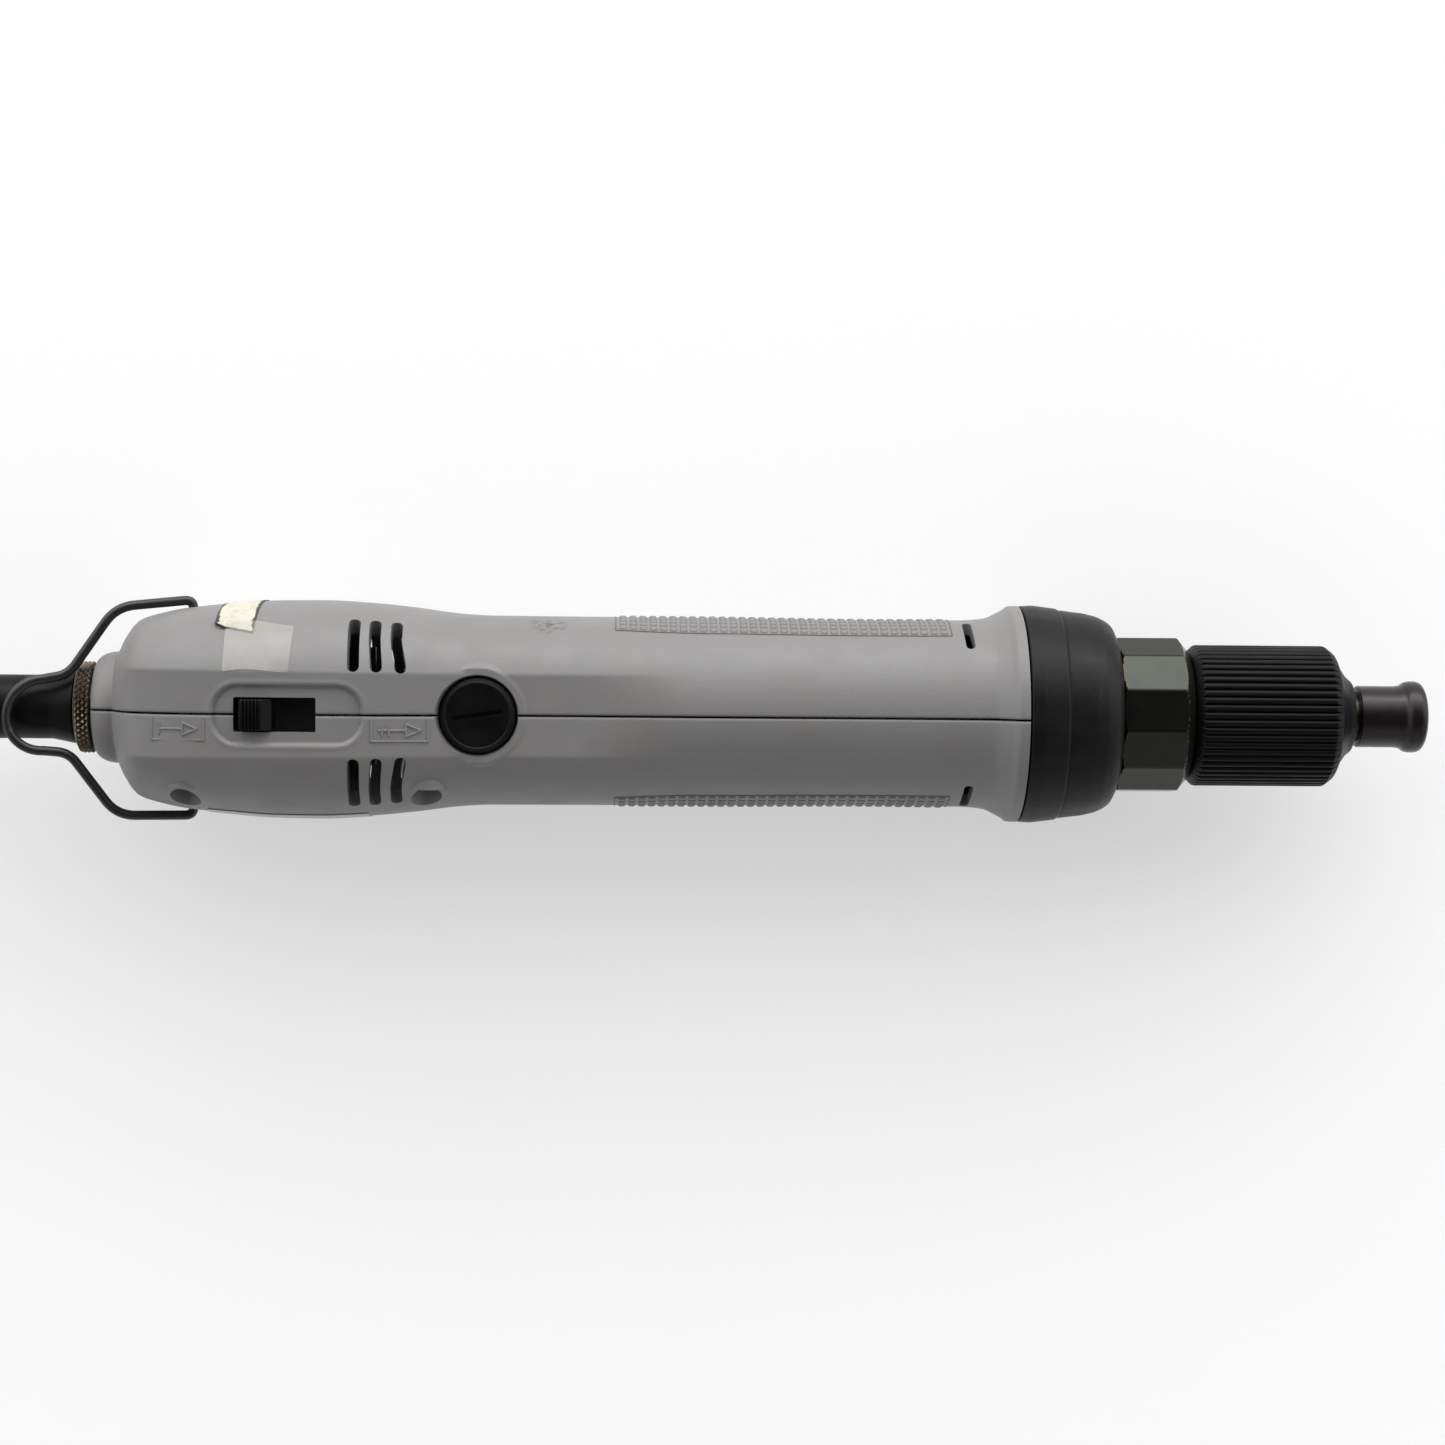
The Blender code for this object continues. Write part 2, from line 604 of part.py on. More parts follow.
def make_gears():
    ring = [circle(14.3, 24), gear_outline(RING_TEETH, outward=False)]
    flat_shape("ring_gear", "steel", ring, GEAR_REAR - 2.0, GEAR_FRONT + 0.6)
    for i in range(PLANETS):
        angle = 2.0 * math.pi * i / PLANETS
        teeth = gear_outline(PLANET_TEETH)
        half_pitch = math.pi / PLANET_TEETH
        turn = Matrix.Rotation(angle + half_pitch, 2)
        outline = [tuple(turn @ Vector(point)) for point in teeth]
        gear = flat_shape(f"planet_gear_{i + 1}", "steel", [outline, circle(PIN_RADIUS + 0.3, 10)],
                          GEAR_REAR, GEAR_FRONT)
        gear.location.y += PLANET_ORBIT * math.cos(angle) * MM
        gear.location.z += PLANET_ORBIT * math.sin(angle) * MM


def make_carrier():
    carrier = turned("planet_carrier", "steel",
                     [(150.2, 10.8), (153.2, 10.8), (153.2, 5.0), (158.4, 5.0)],
                     [(150.2, 1.1), (158.4, 1.1)], 24)
    for i in range(PLANETS):
        angle = 2.0 * math.pi * i / PLANETS
        pin = turned(f"planet_pin_{i}", None, [(GEAR_REAR, PIN_RADIUS), (151.0, PIN_RADIUS)], sides=12)
        pin.location.y += PLANET_ORBIT * math.cos(angle) * MM
        pin.location.z += PLANET_ORBIT * math.sin(angle) * MM
        combine(carrier, as_cutter(pin), "UNION")


def clutch_ring(name, outer, bore, rear, front, lobe_rear, lobe_front, lobe_angle):
    """A ring with three radial lobes standing off one face."""
    ring = turned(name, "steel", [(rear, outer), (front, outer)], [(rear, bore), (front, bore)], 24)
    for i in range(3):
        angle = lobe_angle + 2.0 * math.pi * i / 3.0
        lobe = box(f"{name}_lobe_{i}", None, (lobe_rear, 6.0, -1.3), (lobe_front, 9.0, 1.3),
                   0.0, (angle, 0.0, 0.0))
        combine(ring, as_cutter(lobe), "UNION")


def make_clutch():
    clutch_ring("clutch_cam", 9.5, 5.3, 155.0, 159.4, 159.0, 160.7, 0.0)
    clutch_ring("clutch_disc", 9.5, 4.0, 162.4, 165.4, 161.2, 162.8, math.radians(60.0))
    outer = [(156.0, 13.4), (170.2, 13.4), (170.2, 15.4), (173.8, 15.4), (173.8, 12.6), (187.5, 12.6),
             (187.5, 11.1), (199.9, 11.1), (199.9, 10.0), (216.0, 10.0)]
    housing = turned("clutch_housing", "dark_steel", outer)
    prism = turned("wrench_flats", None,
                   [(FLATS_REAR, FLATS_RADIUS), (FLATS_FRONT, FLATS_RADIUS), (199.8, 12.4)], sides=FLATS)
    prism.rotation_euler = (Matrix.Rotation(FLATS_CORNER, 3, "X")
                            @ place_on_axis(prism).rotation_euler.to_matrix()
                            @ Matrix.Rotation(math.pi / 2.0, 3, "Z")).to_euler()
    combine(housing, as_cutter(prism), "UNION")
    bore = turned("clutch_bore", None, [(150.0, 10.4), (176.0, 10.4), (176.0, 9.2), (220.0, 9.2)])
    combine(housing, as_cutter(bore), "DIFFERENCE")
    coil_spring("clutch_spring", "steel", 7.5, 0.85, 6.0, 166.0, 207.6, points_per_turn=9)
    turned("spring_seat", "steel", [(208.0, 8.7), (216.6, 8.7)], [(208.0, 6.4), (216.6, 6.4)], 24)
    turned("spindle_bush", "bronze", [(208.4, 6.1), (216.3, 6.1)], [(208.4, 4.9), (216.3, 4.9)], 24)


# ---------------------------------------------------------------- front end

def make_front_cover():
    outer = [(163.9, 15.5), (168.9, 15.5), (168.9, 19.95), (171.3, 20.1), (175.9, 19.4), (176.1, 19.1),
             (180.7, 18.7), (183.1, 18.2), (184.6, 17.5), (185.6, 16.8), (186.4, 14.9)]
    bore = [(163.9, 13.9), (169.8, 13.9), (169.8, 15.8), (174.2, 15.8), (174.2, 13.0), (186.4, 13.0)]
    turned("front_cover", "black_cover", outer, bore, 28)


def make_torque_nut():
    outer = [(NUT_REAR, 11.6), (201.7, NUT_RADIUS), (225.6, NUT_RADIUS), (227.0, 12.05), (228.6, 9.7),
             (229.4, 8.75), (230.2, 7.6), (NUT_FRONT, 6.7)]
    bore = [(NUT_REAR, 11.4), (200.7, 10.4), (217.0, 10.4), (217.0, 6.05), (NUT_FRONT, 6.05)]
    turned("torque_nut", "black_plastic", outer, bore, 28)


def make_spindle():
    outer = [(161.6, 3.4), (200.0, 3.4), (200.0, 4.5), (232.5, 4.5), (232.5, 4.15), (SPINDLE_FRONT, 4.15)]
    spindle = turned("spindle", "dark_steel", outer, sides=24)
    corner = BIT_ACROSS_FLATS / 2.0 / math.cos(math.pi / 6.0)
    socket = turned("bit_socket", None, [(222.0, corner), (250.0, corner)], sides=6)
    combine(spindle, as_cutter(socket), "DIFFERENCE")


def make_bit_sleeve():
    outer = [(232.9, 5.7), (239.6, 5.7), (240.6, 5.95), (241.1, 6.45), (242.0, 6.65), (243.6, 6.65),
             (SLEEVE_FRONT, 5.9)]
    bore = [(232.9, 4.45), (235.0, 4.45), (235.0, 5.25), (242.9, 5.25), (243.35, 4.4), (SLEEVE_FRONT, 4.4)]
    turned("bit_sleeve", "brown_steel", outer, bore)
    coil_spring("sleeve_spring", "steel", 4.74, 0.2, 3.0, 235.3, 242.6, points_per_turn=12)


def make_start_rod():
    outer = [(45.6, 2.3), (47.2, 2.3), (47.2, 0.6), (159.6, 0.6), (159.6, 3.0), (161.2, 3.0)]
    turned("push_rod", "steel", outer, sides=12)
    coil_spring("start_spring", "steel", 1.6, 0.25, 4.0, 38.9, 45.2)


# ---------------------------------------------------------------- plug, lead and hank

def make_plug(prefix, place):
    """Plug, knurled coupling nut and strain relief in stations; place moves them as one."""
    shell = turned(f"{prefix}plug_shell", "black_plastic", [(-34.0, 5.83), (-8.0, 5.83), (-4.6, 6.6), (-3.6, 6.7)])
    nut = turned(f"{prefix}coupling_nut", "knurled_brass",
                 [(-3.3, 7.2), (-2.4, 8.05), (-0.6, 8.05), (-0.3, 7.8)], [(-3.3, 6.65), (-0.3, 6.65)], 24)
    relief = turned(f"{prefix}strain_relief", "black_rubber",
                    [(-62.0, 3.5), (-60.0, 3.7), (-36.0, 5.2), (-34.3, 5.4)], sides=24)
    place_on_axis(nut)
    for piece in (shell, nut, relief):
        place(piece)


def keep_place(_piece):
    return None


def lay_on_hank(piece):
    """The far plug lies along the hank, its front raised by the coupling nut."""
    forwards = Euler(ALONG_TOOL).to_matrix()
    piece.location = (world_x(FAR_PLUG_FRONT), -HANK_RUN * MM, FAR_PLUG_HEIGHT * MM)
    piece.rotation_euler = (Matrix.Rotation(-FAR_PLUG_LEAN, 3, "Y") @ forwards).to_euler()


def stadium(radius, rear, front, steps=10):
    """Outline with round ends, in station and y."""
    points = []
    for centre, start in ((front - HANK_OUTER, -math.pi / 2.0), (rear + HANK_OUTER, math.pi / 2.0)):
        for i in range(steps + 1):
            angle = start + math.pi * i / steps
            points.append((centre + radius * math.cos(angle), radius * math.sin(angle)))
    return points


def make_hank():
    curve = bpy.data.curves.new("cable_hank", "CURVE")
    curve.dimensions = "2D"
    curve.fill_mode = "BOTH"
    curve.extrude = HANK_HEIGHT / 2.0 * MM
    for radius in (HANK_OUTER, HANK_INNER):
        spline = curve.splines.new("POLY")
        outline = stadium(radius, HANK_REAR, HANK_FRONT)
        spline.points.add(len(outline) - 1)
        for point, (station, y) in zip(spline.points, outline):
            point.co = (world_x(station), y * MM, 0.0, 1.0)
        spline.use_cyclic_u = True
    hank = bpy.data.objects.new("cable_hank", curve)
    hank.location.z = (HANK_BOTTOM + HANK_HEIGHT / 2.0) * MM
    PARTS.objects.link(hank)
    curve.materials.append(MATERIALS["black_rubber"])


def make_tie():
    """A strap round the middle of the hank."""
    middle = HANK_BOTTOM + HANK_HEIGHT / 2.0 - AXIS_HEIGHT
    half = (5.0, HANK_OUTER + 0.3, HANK_HEIGHT / 2.0 + 0.3)
    skin = 0.75
    outer = [(-half[0], -half[1] - skin, middle - half[2] - skin), (half[0], half[1] + skin, middle + half[2] + skin)]
    inner = [(-half[0] - 1.0, -half[1], middle - half[2]), (half[0] + 1.0, half[1], middle + half[2])]
    tie = box("hank_tie", "black_rubber", outer[0], outer[1], TIE_STATION)
    combine(tie, as_cutter(box("tie_opening", None, inner[0], inner[1], TIE_STATION)), "DIFFERENCE")


def smooth_route(points, per_span):
    """A Catmull-Rom curve through the route's own points."""
    route = []
    padded = [Vector(points[0]) * 2.0 - Vector(points[1])] + [Vector(p) for p in points]
    padded.append(Vector(points[-1]) * 2.0 - Vector(points[-2]))
    for a, b, c, d in zip(padded, padded[1:], padded[2:], padded[3:]):
        for i in range(per_span):
            t = i / per_span
            route.append(0.5 * (2.0 * b + (c - a) * t + (2.0 * a - 5.0 * b + 4.0 * c - d) * t * t
                                + (3.0 * b - a - 3.0 * c + d) * t ** 3))
    return route + [padded[-2]]


def make_lead():
    lead_route = [(-62.3, 0.0, AXIS_HEIGHT), (-68.0, 0.4, AXIS_HEIGHT + 0.2), (-76.0, 3.2, TOP_LAY),
                  (-85.0, 9.0, TOP_LAY), (-93.5, 15.6, TOP_LAY), (-101.0, 21.0, TOP_LAY), (-108.0, 24.1, TOP_LAY)]
    tail_route = [(-189.4, -HANK_RUN + 0.8, TOP_LAY), (-185.8, -HANK_RUN + 0.1, TOP_LAY + 0.5),
                  (-182.2, -HANK_RUN, TOP_LAY + 0.95)]
    for name, route in (("cable_lead", lead_route), ("cable_tail", tail_route)):
        points = smooth_route(route, 3)
        cable = wire(name, "black_rubber", points, CABLE_RADIUS)
        cable.location.x = world_x(0.0)


make_housing()
make_screws()
make_connector_socket()
make_bail()
make_electrics()
make_brushes()
make_motor()
make_gears()
make_carrier()
make_clutch()
make_front_cover()
make_torque_nut()
make_spindle()
make_bit_sleeve()
make_start_rod()
make_plug("", keep_place)
make_plug("far_", lay_on_hank)
make_hank()
make_tie()
make_lead()
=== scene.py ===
"""Looks of the in-line electric torque screwdriver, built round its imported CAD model.

Pieces are made in millimetres: x is the station along the tool's axis, counted from the housing's rear
face, y is across and z is up from the axis. The TOOL matrix puts them in the row frame, in metres.
"""
import json
import math

import bmesh
import bpy
from mathutils import Matrix, Vector


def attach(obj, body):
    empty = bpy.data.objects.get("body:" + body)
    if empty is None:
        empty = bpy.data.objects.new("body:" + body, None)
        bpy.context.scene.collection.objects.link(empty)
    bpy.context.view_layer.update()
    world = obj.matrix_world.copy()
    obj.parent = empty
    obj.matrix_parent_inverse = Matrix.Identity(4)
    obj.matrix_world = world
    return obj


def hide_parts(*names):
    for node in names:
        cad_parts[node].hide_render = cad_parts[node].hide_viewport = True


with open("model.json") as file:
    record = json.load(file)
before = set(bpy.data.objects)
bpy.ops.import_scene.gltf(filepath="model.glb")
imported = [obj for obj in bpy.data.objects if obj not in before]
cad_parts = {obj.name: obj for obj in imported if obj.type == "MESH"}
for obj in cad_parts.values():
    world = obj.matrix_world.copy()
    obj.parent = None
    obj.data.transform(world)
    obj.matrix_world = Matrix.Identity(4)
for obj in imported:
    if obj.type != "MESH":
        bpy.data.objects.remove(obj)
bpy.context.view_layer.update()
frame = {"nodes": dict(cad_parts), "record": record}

MM = 0.001

# Places shared with the CAD model, in millimetres
AXIS_HEIGHT = 20.1
ORIGIN_STATION = 114.2214
TOOL = Matrix.Translation((-ORIGIN_STATION * MM, 0.0, AXIS_HEIGHT * MM)) @ Matrix.Scale(MM, 4)
HERE = Matrix.Identity(4)                   # cut pieces stay in millimetres until settle()

# Camera
CAMERA_STATION = 92.4
CAMERA_DISTANCE = 537.0
CAMERA_TILT = math.radians(3.5)
CAMERA_ROLL = math.radians(0.43)
CAMERA_LENS = 72.57
AIM_STATION = 114.35
AIM_ACROSS = -2.0

# Housing
HOUSING_FRONT = 168.6
WALL = 2.2
SEAM_HALF = 0.15
SEAM_ROUNDING = (0.32, 0.1, 0.02)           # how far the first samples beside the seam sink
BORE_REAR = 6.7
COLLAR_LENGTH = 3.9
COLLAR_RADII = (7.8, 10.2)
HOUSING_OUTLINE = [
    (3.9, 10.2), (4.15, 10.25), (4.5, 10.9), (5.4, 12.8), (8.1, 16.1), (10.9, 17.1), (16.5, 18.3),
    (24.8, 19.2), (33.0, 19.8), (41.5, 19.9), (49.8, 19.5), (58.1, 18.7), (66.5, 17.65), (72.0, 17.35),
    (92.0, 17.3), (110.0, 17.3), (139.0, 17.1), (158.0, 17.25), (162.4, 17.6), (165.0, 18.75),
    (166.3, 19.45), (166.6, 19.8), (167.2, 19.95), (HOUSING_FRONT, 20.0),
]
BULGE_HEIGHT = 1.065
BULGE_POWER = 2.22
STRIP_HALF = (7.9, 7.33)
STRIP_FULL = 85.0
STRIP_END = 110.0
RECESS = (23.0, 49.9, 5.45, 0.65)           # rear, front, half-width, depth
SWITCH = (26.9, 41.5, 3.1)                  # rear, front, half-width
BRUSH_STATION = 70.0
BOSS_RADIUS, BOSS_TOP = 8.85, 17.2
CAP_HOLE, CAP_RADIUS = 7.05, 6.75
CAP_TURN = math.radians(9.0)                # of the coin slot
VENTS = ((47.9, 0.15), (51.6, 0.5), (55.4, 1.0))     # station, and how far the inner end leans forward
VENT_HALF = 0.95
VENT_ANGLES = (21.5, 54.5)                  # degrees round from +Z
SLOT_STATION, SLOT_HALF = 158.6, 0.8
SLOT_ANGLES = (46.0, 76.0)
# Station and height of each screw, on the -Y side
SCREWS = [(17.5, 11.3), (17.5, -11.3), (60.7, 12.0), (60.7, -12.0)]
COUNTERBORE = 2.75

# Grip studs on both sides of the handle: stations, and degrees round from +Z
GRIP_REAR, GRIP_FRONT = 94.5, 155.6
GRIP_TOP, GRIP_BOTTOM = 58.2, 121.8
STUD_COLUMNS, STUD_ROWS = 33, 11
STUD_FIRST, STUD_PITCH = 95.85, 1.825
STUD_SPREAD = math.radians(62.0)
STUD_HALF, STUD_HALF_ANGLE = 0.78, 0.046

# Sheets stuck on the housing: rear station and length
LABEL_REAR, LABEL_LENGTH = 22.9, 7.2
TAPE_REAR, TAPE_LENGTH = 25.1, 11.6
PLATE_REAR, PLATE_LENGTH = 21.0, 29.0

# Hanging loop
BAIL_PIVOT = 17.4
BAIL_BEND = (26.9, 6.5)                     # centre's distance behind the pivot, radius
BAIL_REACH = 33.4
BAIL_SKEW = 1.4
BAIL_TILT = math.radians(13.5)
BAIL_WIRE = 0.88

# Front end
FLATS = 12                                  # wrench flats round the clutch housing
FLATS_RADIUS = 14.55
FLATS_REAR, FLATS_FRONT = 186.7, 198.0
FLATS_CORNER = math.radians(8.2)            # from +Z towards -Y
THREAD_FRONT, THREAD_PITCH = 216.0, 0.5
NUT_REAR, NUT_FRONT = 200.2, 230.8
NUT_RADIUS = 13.05
FLUTES = 57
FLUTE_DEPTH = 0.77
BIT_SIZE = 6.35                             # across the flats of the hexagonal socket

# Lead: its heights are from the floor
CABLE_RADIUS = 2.75
FOLD_CENTRES = (-99.5, -184.5)
# Each turn's radius and height, and how far behind the housing it leaves the turn before
TURNS = [(24.75, 14.85), (24.75, 9.35), (24.75, 3.85), (19.25, 3.85), (19.25, 9.35), (19.25, 14.85)]
SHIFTS = [(108.0, 133.0)] * 3 + [(97.0, 120.0)] + [(85.0, 108.0)] * 2
LEAD_ROUTE = [(-62.3, 0.0, 20.1), (-68.0, 0.4, 20.15), (-76.0, 3.2, 20.35), (-85.0, 9.0, 20.45),
              (-93.5, 15.6, 20.4), (-101.0, 21.0, 20.4), (-108.0, 24.1, 20.2)]
FAR_PLUG_FRONT = (-120.0, -22.0, 26.2)
FAR_PLUG_LEAN = math.radians(4.2)
TIE_STATION = -132.0


# ---------------------------------------------------------------- camera

def tool_point(station, across=0.0, up=0.0):
    return TOOL @ Vector((station, across, up))


def add_object(name, data, material=None):
    """Put a mesh, curve, camera or light into the scene."""
    obj = bpy.data.objects.new(name, data)
    bpy.context.scene.collection.objects.link(obj)
    if material:
        data.materials.append(material)
    return obj


def make_camera():
    data = bpy.data.cameras.new("camera")
    data.sensor_width = 36.0
    data.lens = CAMERA_LENS
    data.clip_start = 0.01
    data.clip_end = 20.0
    camera = add_object("camera", data)
    away = Vector((0.0, math.sin(CAMERA_TILT), math.cos(CAMERA_TILT)))
    spot = tool_point(CAMERA_STATION) + away * CAMERA_DISTANCE * MM
    back = (spot - tool_point(AIM_STATION, AIM_ACROSS)).normalized()
    up = back.cross(Vector((1.0, 0.0, 0.0))).normalized()
    right = up.cross(back)
    turn = Matrix((right, up, back)).transposed() @ Matrix.Rotation(CAMERA_ROLL, 3, "Z")
    camera.matrix_world = Matrix.Translation(spot) @ turn.to_4x4()
    bpy.context.scene.camera = camera


# ---------------------------------------------------------------- curves and meshes

def ease(value, low, high):
    """0 below low, 1 above high and a smooth step between."""
    share = min(max((value - low) / (high - low), 0.0), 1.0)
    return share * share * (3.0 - 2.0 * share)


def smooth_route(points, per_span):
    """A Catmull-Rom curve through points."""
    vectors = [Vector(p) for p in points]
    vectors = [vectors[0] * 2.0 - vectors[1]] + vectors + [vectors[-1] * 2.0 - vectors[-2]]
    route = []
    for a, b, c, d in zip(vectors, vectors[1:], vectors[2:], vectors[3:]):
        for i in range(per_span):
            t = i / per_span
            route.append(0.5 * (2.0 * b + (c - a) * t + (2.0 * a - 5.0 * b + 4.0 * c - d) * t * t
                                + (3.0 * b - a - 3.0 * c + d) * t ** 3))
    return route + [vectors[-2]]


def soften(profile, radii, steps=4, most=0.45):
    """The profile with its inner corners rounded, by one radius or a list of them.

    A corner takes no more of either side than the share that most gives.
    """
    points = [Vector(p) for p in profile]
    if isinstance(radii, float):
        radii = [radii] * (len(points) - 2)
    result = [points[0]]
    for before, corner, after, radius in zip(points, points[1:], points[2:], radii):
        reach = min(radius, (before - corner).length * most, (after - corner).length * most)
        start = corner + (before - corner).normalized() * reach
        end = corner + (after - corner).normalized() * reach
        for i in range(steps + 1):
            t = i / steps
            result.append(start * (1.0 - t) ** 2 + corner * 2.0 * t * (1.0 - t) + end * t * t)
    return [tuple(p) for p in result + [points[-1]]]


def monotone(points):
    """A function of the first coordinate that passes smoothly through points without overshoot."""
    xs = [p[0] for p in points]
    ys = [p[1] for p in points]
    steps = [(y2 - y1) / (x2 - x1) for x1, x2, y1, y2 in zip(xs, xs[1:], ys, ys[1:])]
    slopes = [steps[0]]
    for left, right in zip(steps, steps[1:]):
        slopes.append(0.0 if left * right <= 0.0 else 2.0 * left * right / (left + right))
    slopes.append(steps[-1])

    def value(x):
        x = min(max(x, xs[0]), xs[-1])
        i = max(k for k in range(len(xs) - 1) if xs[k] <= x)
        width = xs[i + 1] - xs[i]
        t = (x - xs[i]) / width
        return (ys[i] * (1.0 + 2.0 * t) * (1.0 - t) ** 2 + slopes[i] * width * t * (1.0 - t) ** 2
                + ys[i + 1] * t * t * (3.0 - 2.0 * t) + slopes[i + 1] * width * t * t * (t - 1.0))
    return value


def piece(name, vertices, faces, material, place=TOOL, sharp=35.0):
    """A mesh object with outward normals, placed by a matrix that is applied to the mesh."""
    mesh = bpy.data.meshes.new(name)
    mesh.from_pydata([tuple(v) for v in vertices], [], faces)
    mesh.transform(place)
    shape = bmesh.new()
    shape.from_mesh(mesh)
    bmesh.ops.remove_doubles(shape, verts=shape.verts, dist=0.000002)
    bmesh.ops.recalc_face_normals(shape, faces=shape.faces)
    shape.to_mesh(mesh)
    shape.free()
    obj = add_object(name, mesh, material)
    shade(obj, sharp)
    return obj


def shade(obj, sharp=35.0):
    obj.data.shade_smooth()
    obj.data.set_sharp_from_angle(angle=math.radians(sharp))


def skin(rings, cyclic=False, caps=False):
    """Vertices and faces of a surface through equal closed rings."""
    count = len(rings[0])
    vertices = [point for ring in rings for point in ring]
    faces = []
    pairs = list(zip(range(len(rings)), range(1, len(rings))))
    if cyclic:
        pairs.append((len(rings) - 1, 0))
    for first, second in pairs:
        for i in range(count):
            after = (i + 1) % count
            faces.append((first * count + i, first * count + after,
                          second * count + after, second * count + i))
    if caps:
        faces.append(tuple(range(count)))
        faces.append(tuple((len(rings) - 1) * count + i for i in range(count)))
    return vertices, faces


def radial_ring(station, radius_at, sides):
    """One ring round the axis; radius_at takes the angle from +Z towards +Y."""
    ring = []
    for i in range(sides):
        angle = 2.0 * math.pi * i / sides
        radius = radius_at(angle)
        ring.append((station, radius * math.sin(angle), radius * math.cos(angle)))
    return ring


def round_ring(station, radius, sides):
    return radial_ring(station, lambda _angle: radius, sides)


def turned(name, material, outer, bore=(), sides=96, place=TOOL, sharp=35.0):
    """A turned piece: outer and bore are (station, radius) from rear to front."""
    profile = list(outer) + list(reversed(bore))
    rings = [round_ring(station, radius, sides) for station, radius in profile]
    vertices, faces = skin(rings, cyclic=bool(bore), caps=not bore)
    return piece(name, vertices, faces, material, place, sharp)


def remove(obj):
    bpy.data.objects.remove(obj, do_unlink=True)


def settle(obj):
    """Bring a piece that was made in millimetres into the row frame."""
    obj.data.transform(TOOL)
    return obj


def join_meshes(name, objects):
    """One helper object from several."""
    shape = bmesh.new()
    for obj in objects:
        shape.from_mesh(obj.data)
        remove(obj)
    mesh = bpy.data.meshes.new(name)
    shape.to_mesh(mesh)
    shape.free()
    return add_object(name, mesh)


def cut(obj, cutter, operation="DIFFERENCE", sharp=35.0):
    """Apply a Boolean to obj's mesh and remove the cutter."""
    modifier = obj.modifiers.new("cut", "BOOLEAN")
    modifier.operation = operation
    modifier.solver = "MANIFOLD"
    modifier.object = cutter
    graph = bpy.context.evaluated_depsgraph_get()
    mesh = bpy.data.meshes.new_from_object(obj.evaluated_get(graph))
    obj.modifiers.clear()
    obj.data = mesh
    remove(cutter)
    shade(obj, sharp)


def block(name, low, high, place=HERE, bevel=0.0):
    """A box, its edges rounded where bevel is given."""
    mesh = bpy.data.meshes.new(name)
    shape = bmesh.new()
    bmesh.ops.create_cube(shape, size=1.0)
    size = Vector(high) - Vector(low)
    bmesh.ops.scale(shape, vec=size, verts=shape.verts)
    bmesh.ops.translate(shape, vec=(Vector(high) + Vector(low)) / 2.0, verts=shape.verts)
    if bevel:
        bmesh.ops.bevel(shape, geom=shape.edges[:], offset=bevel, segments=3, profile=0.5, affect="EDGES")
    shape.to_mesh(mesh)
    shape.free()
    mesh.transform(place)
    obj = add_object(name, mesh)
    shade(obj)
    return obj


def tube(name, material, points, radius, resolution):
    """A round tube along points in metres."""
    curve = bpy.data.curves.new(name, "CURVE")
    curve.dimensions = "3D"
    curve.bevel_depth = radius
    curve.bevel_resolution = resolution
    curve.use_fill_caps = True
    spline = curve.splines.new("POLY")
    spline.points.add(len(points) - 1)
    for point, place in zip(spline.points, points):
        point.co = (*place, 1.0)
    spline.use_smooth = True
    return add_object(name, curve, material)


def dress(obj, body, slot, *nodes):
    """Ride on a body and stand for CAD nodes, hiding them. The slot argument is not used."""
    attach(obj, body)
    if nodes:
        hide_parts(*nodes)
    return obj


# ---------------------------------------------------------------- materials

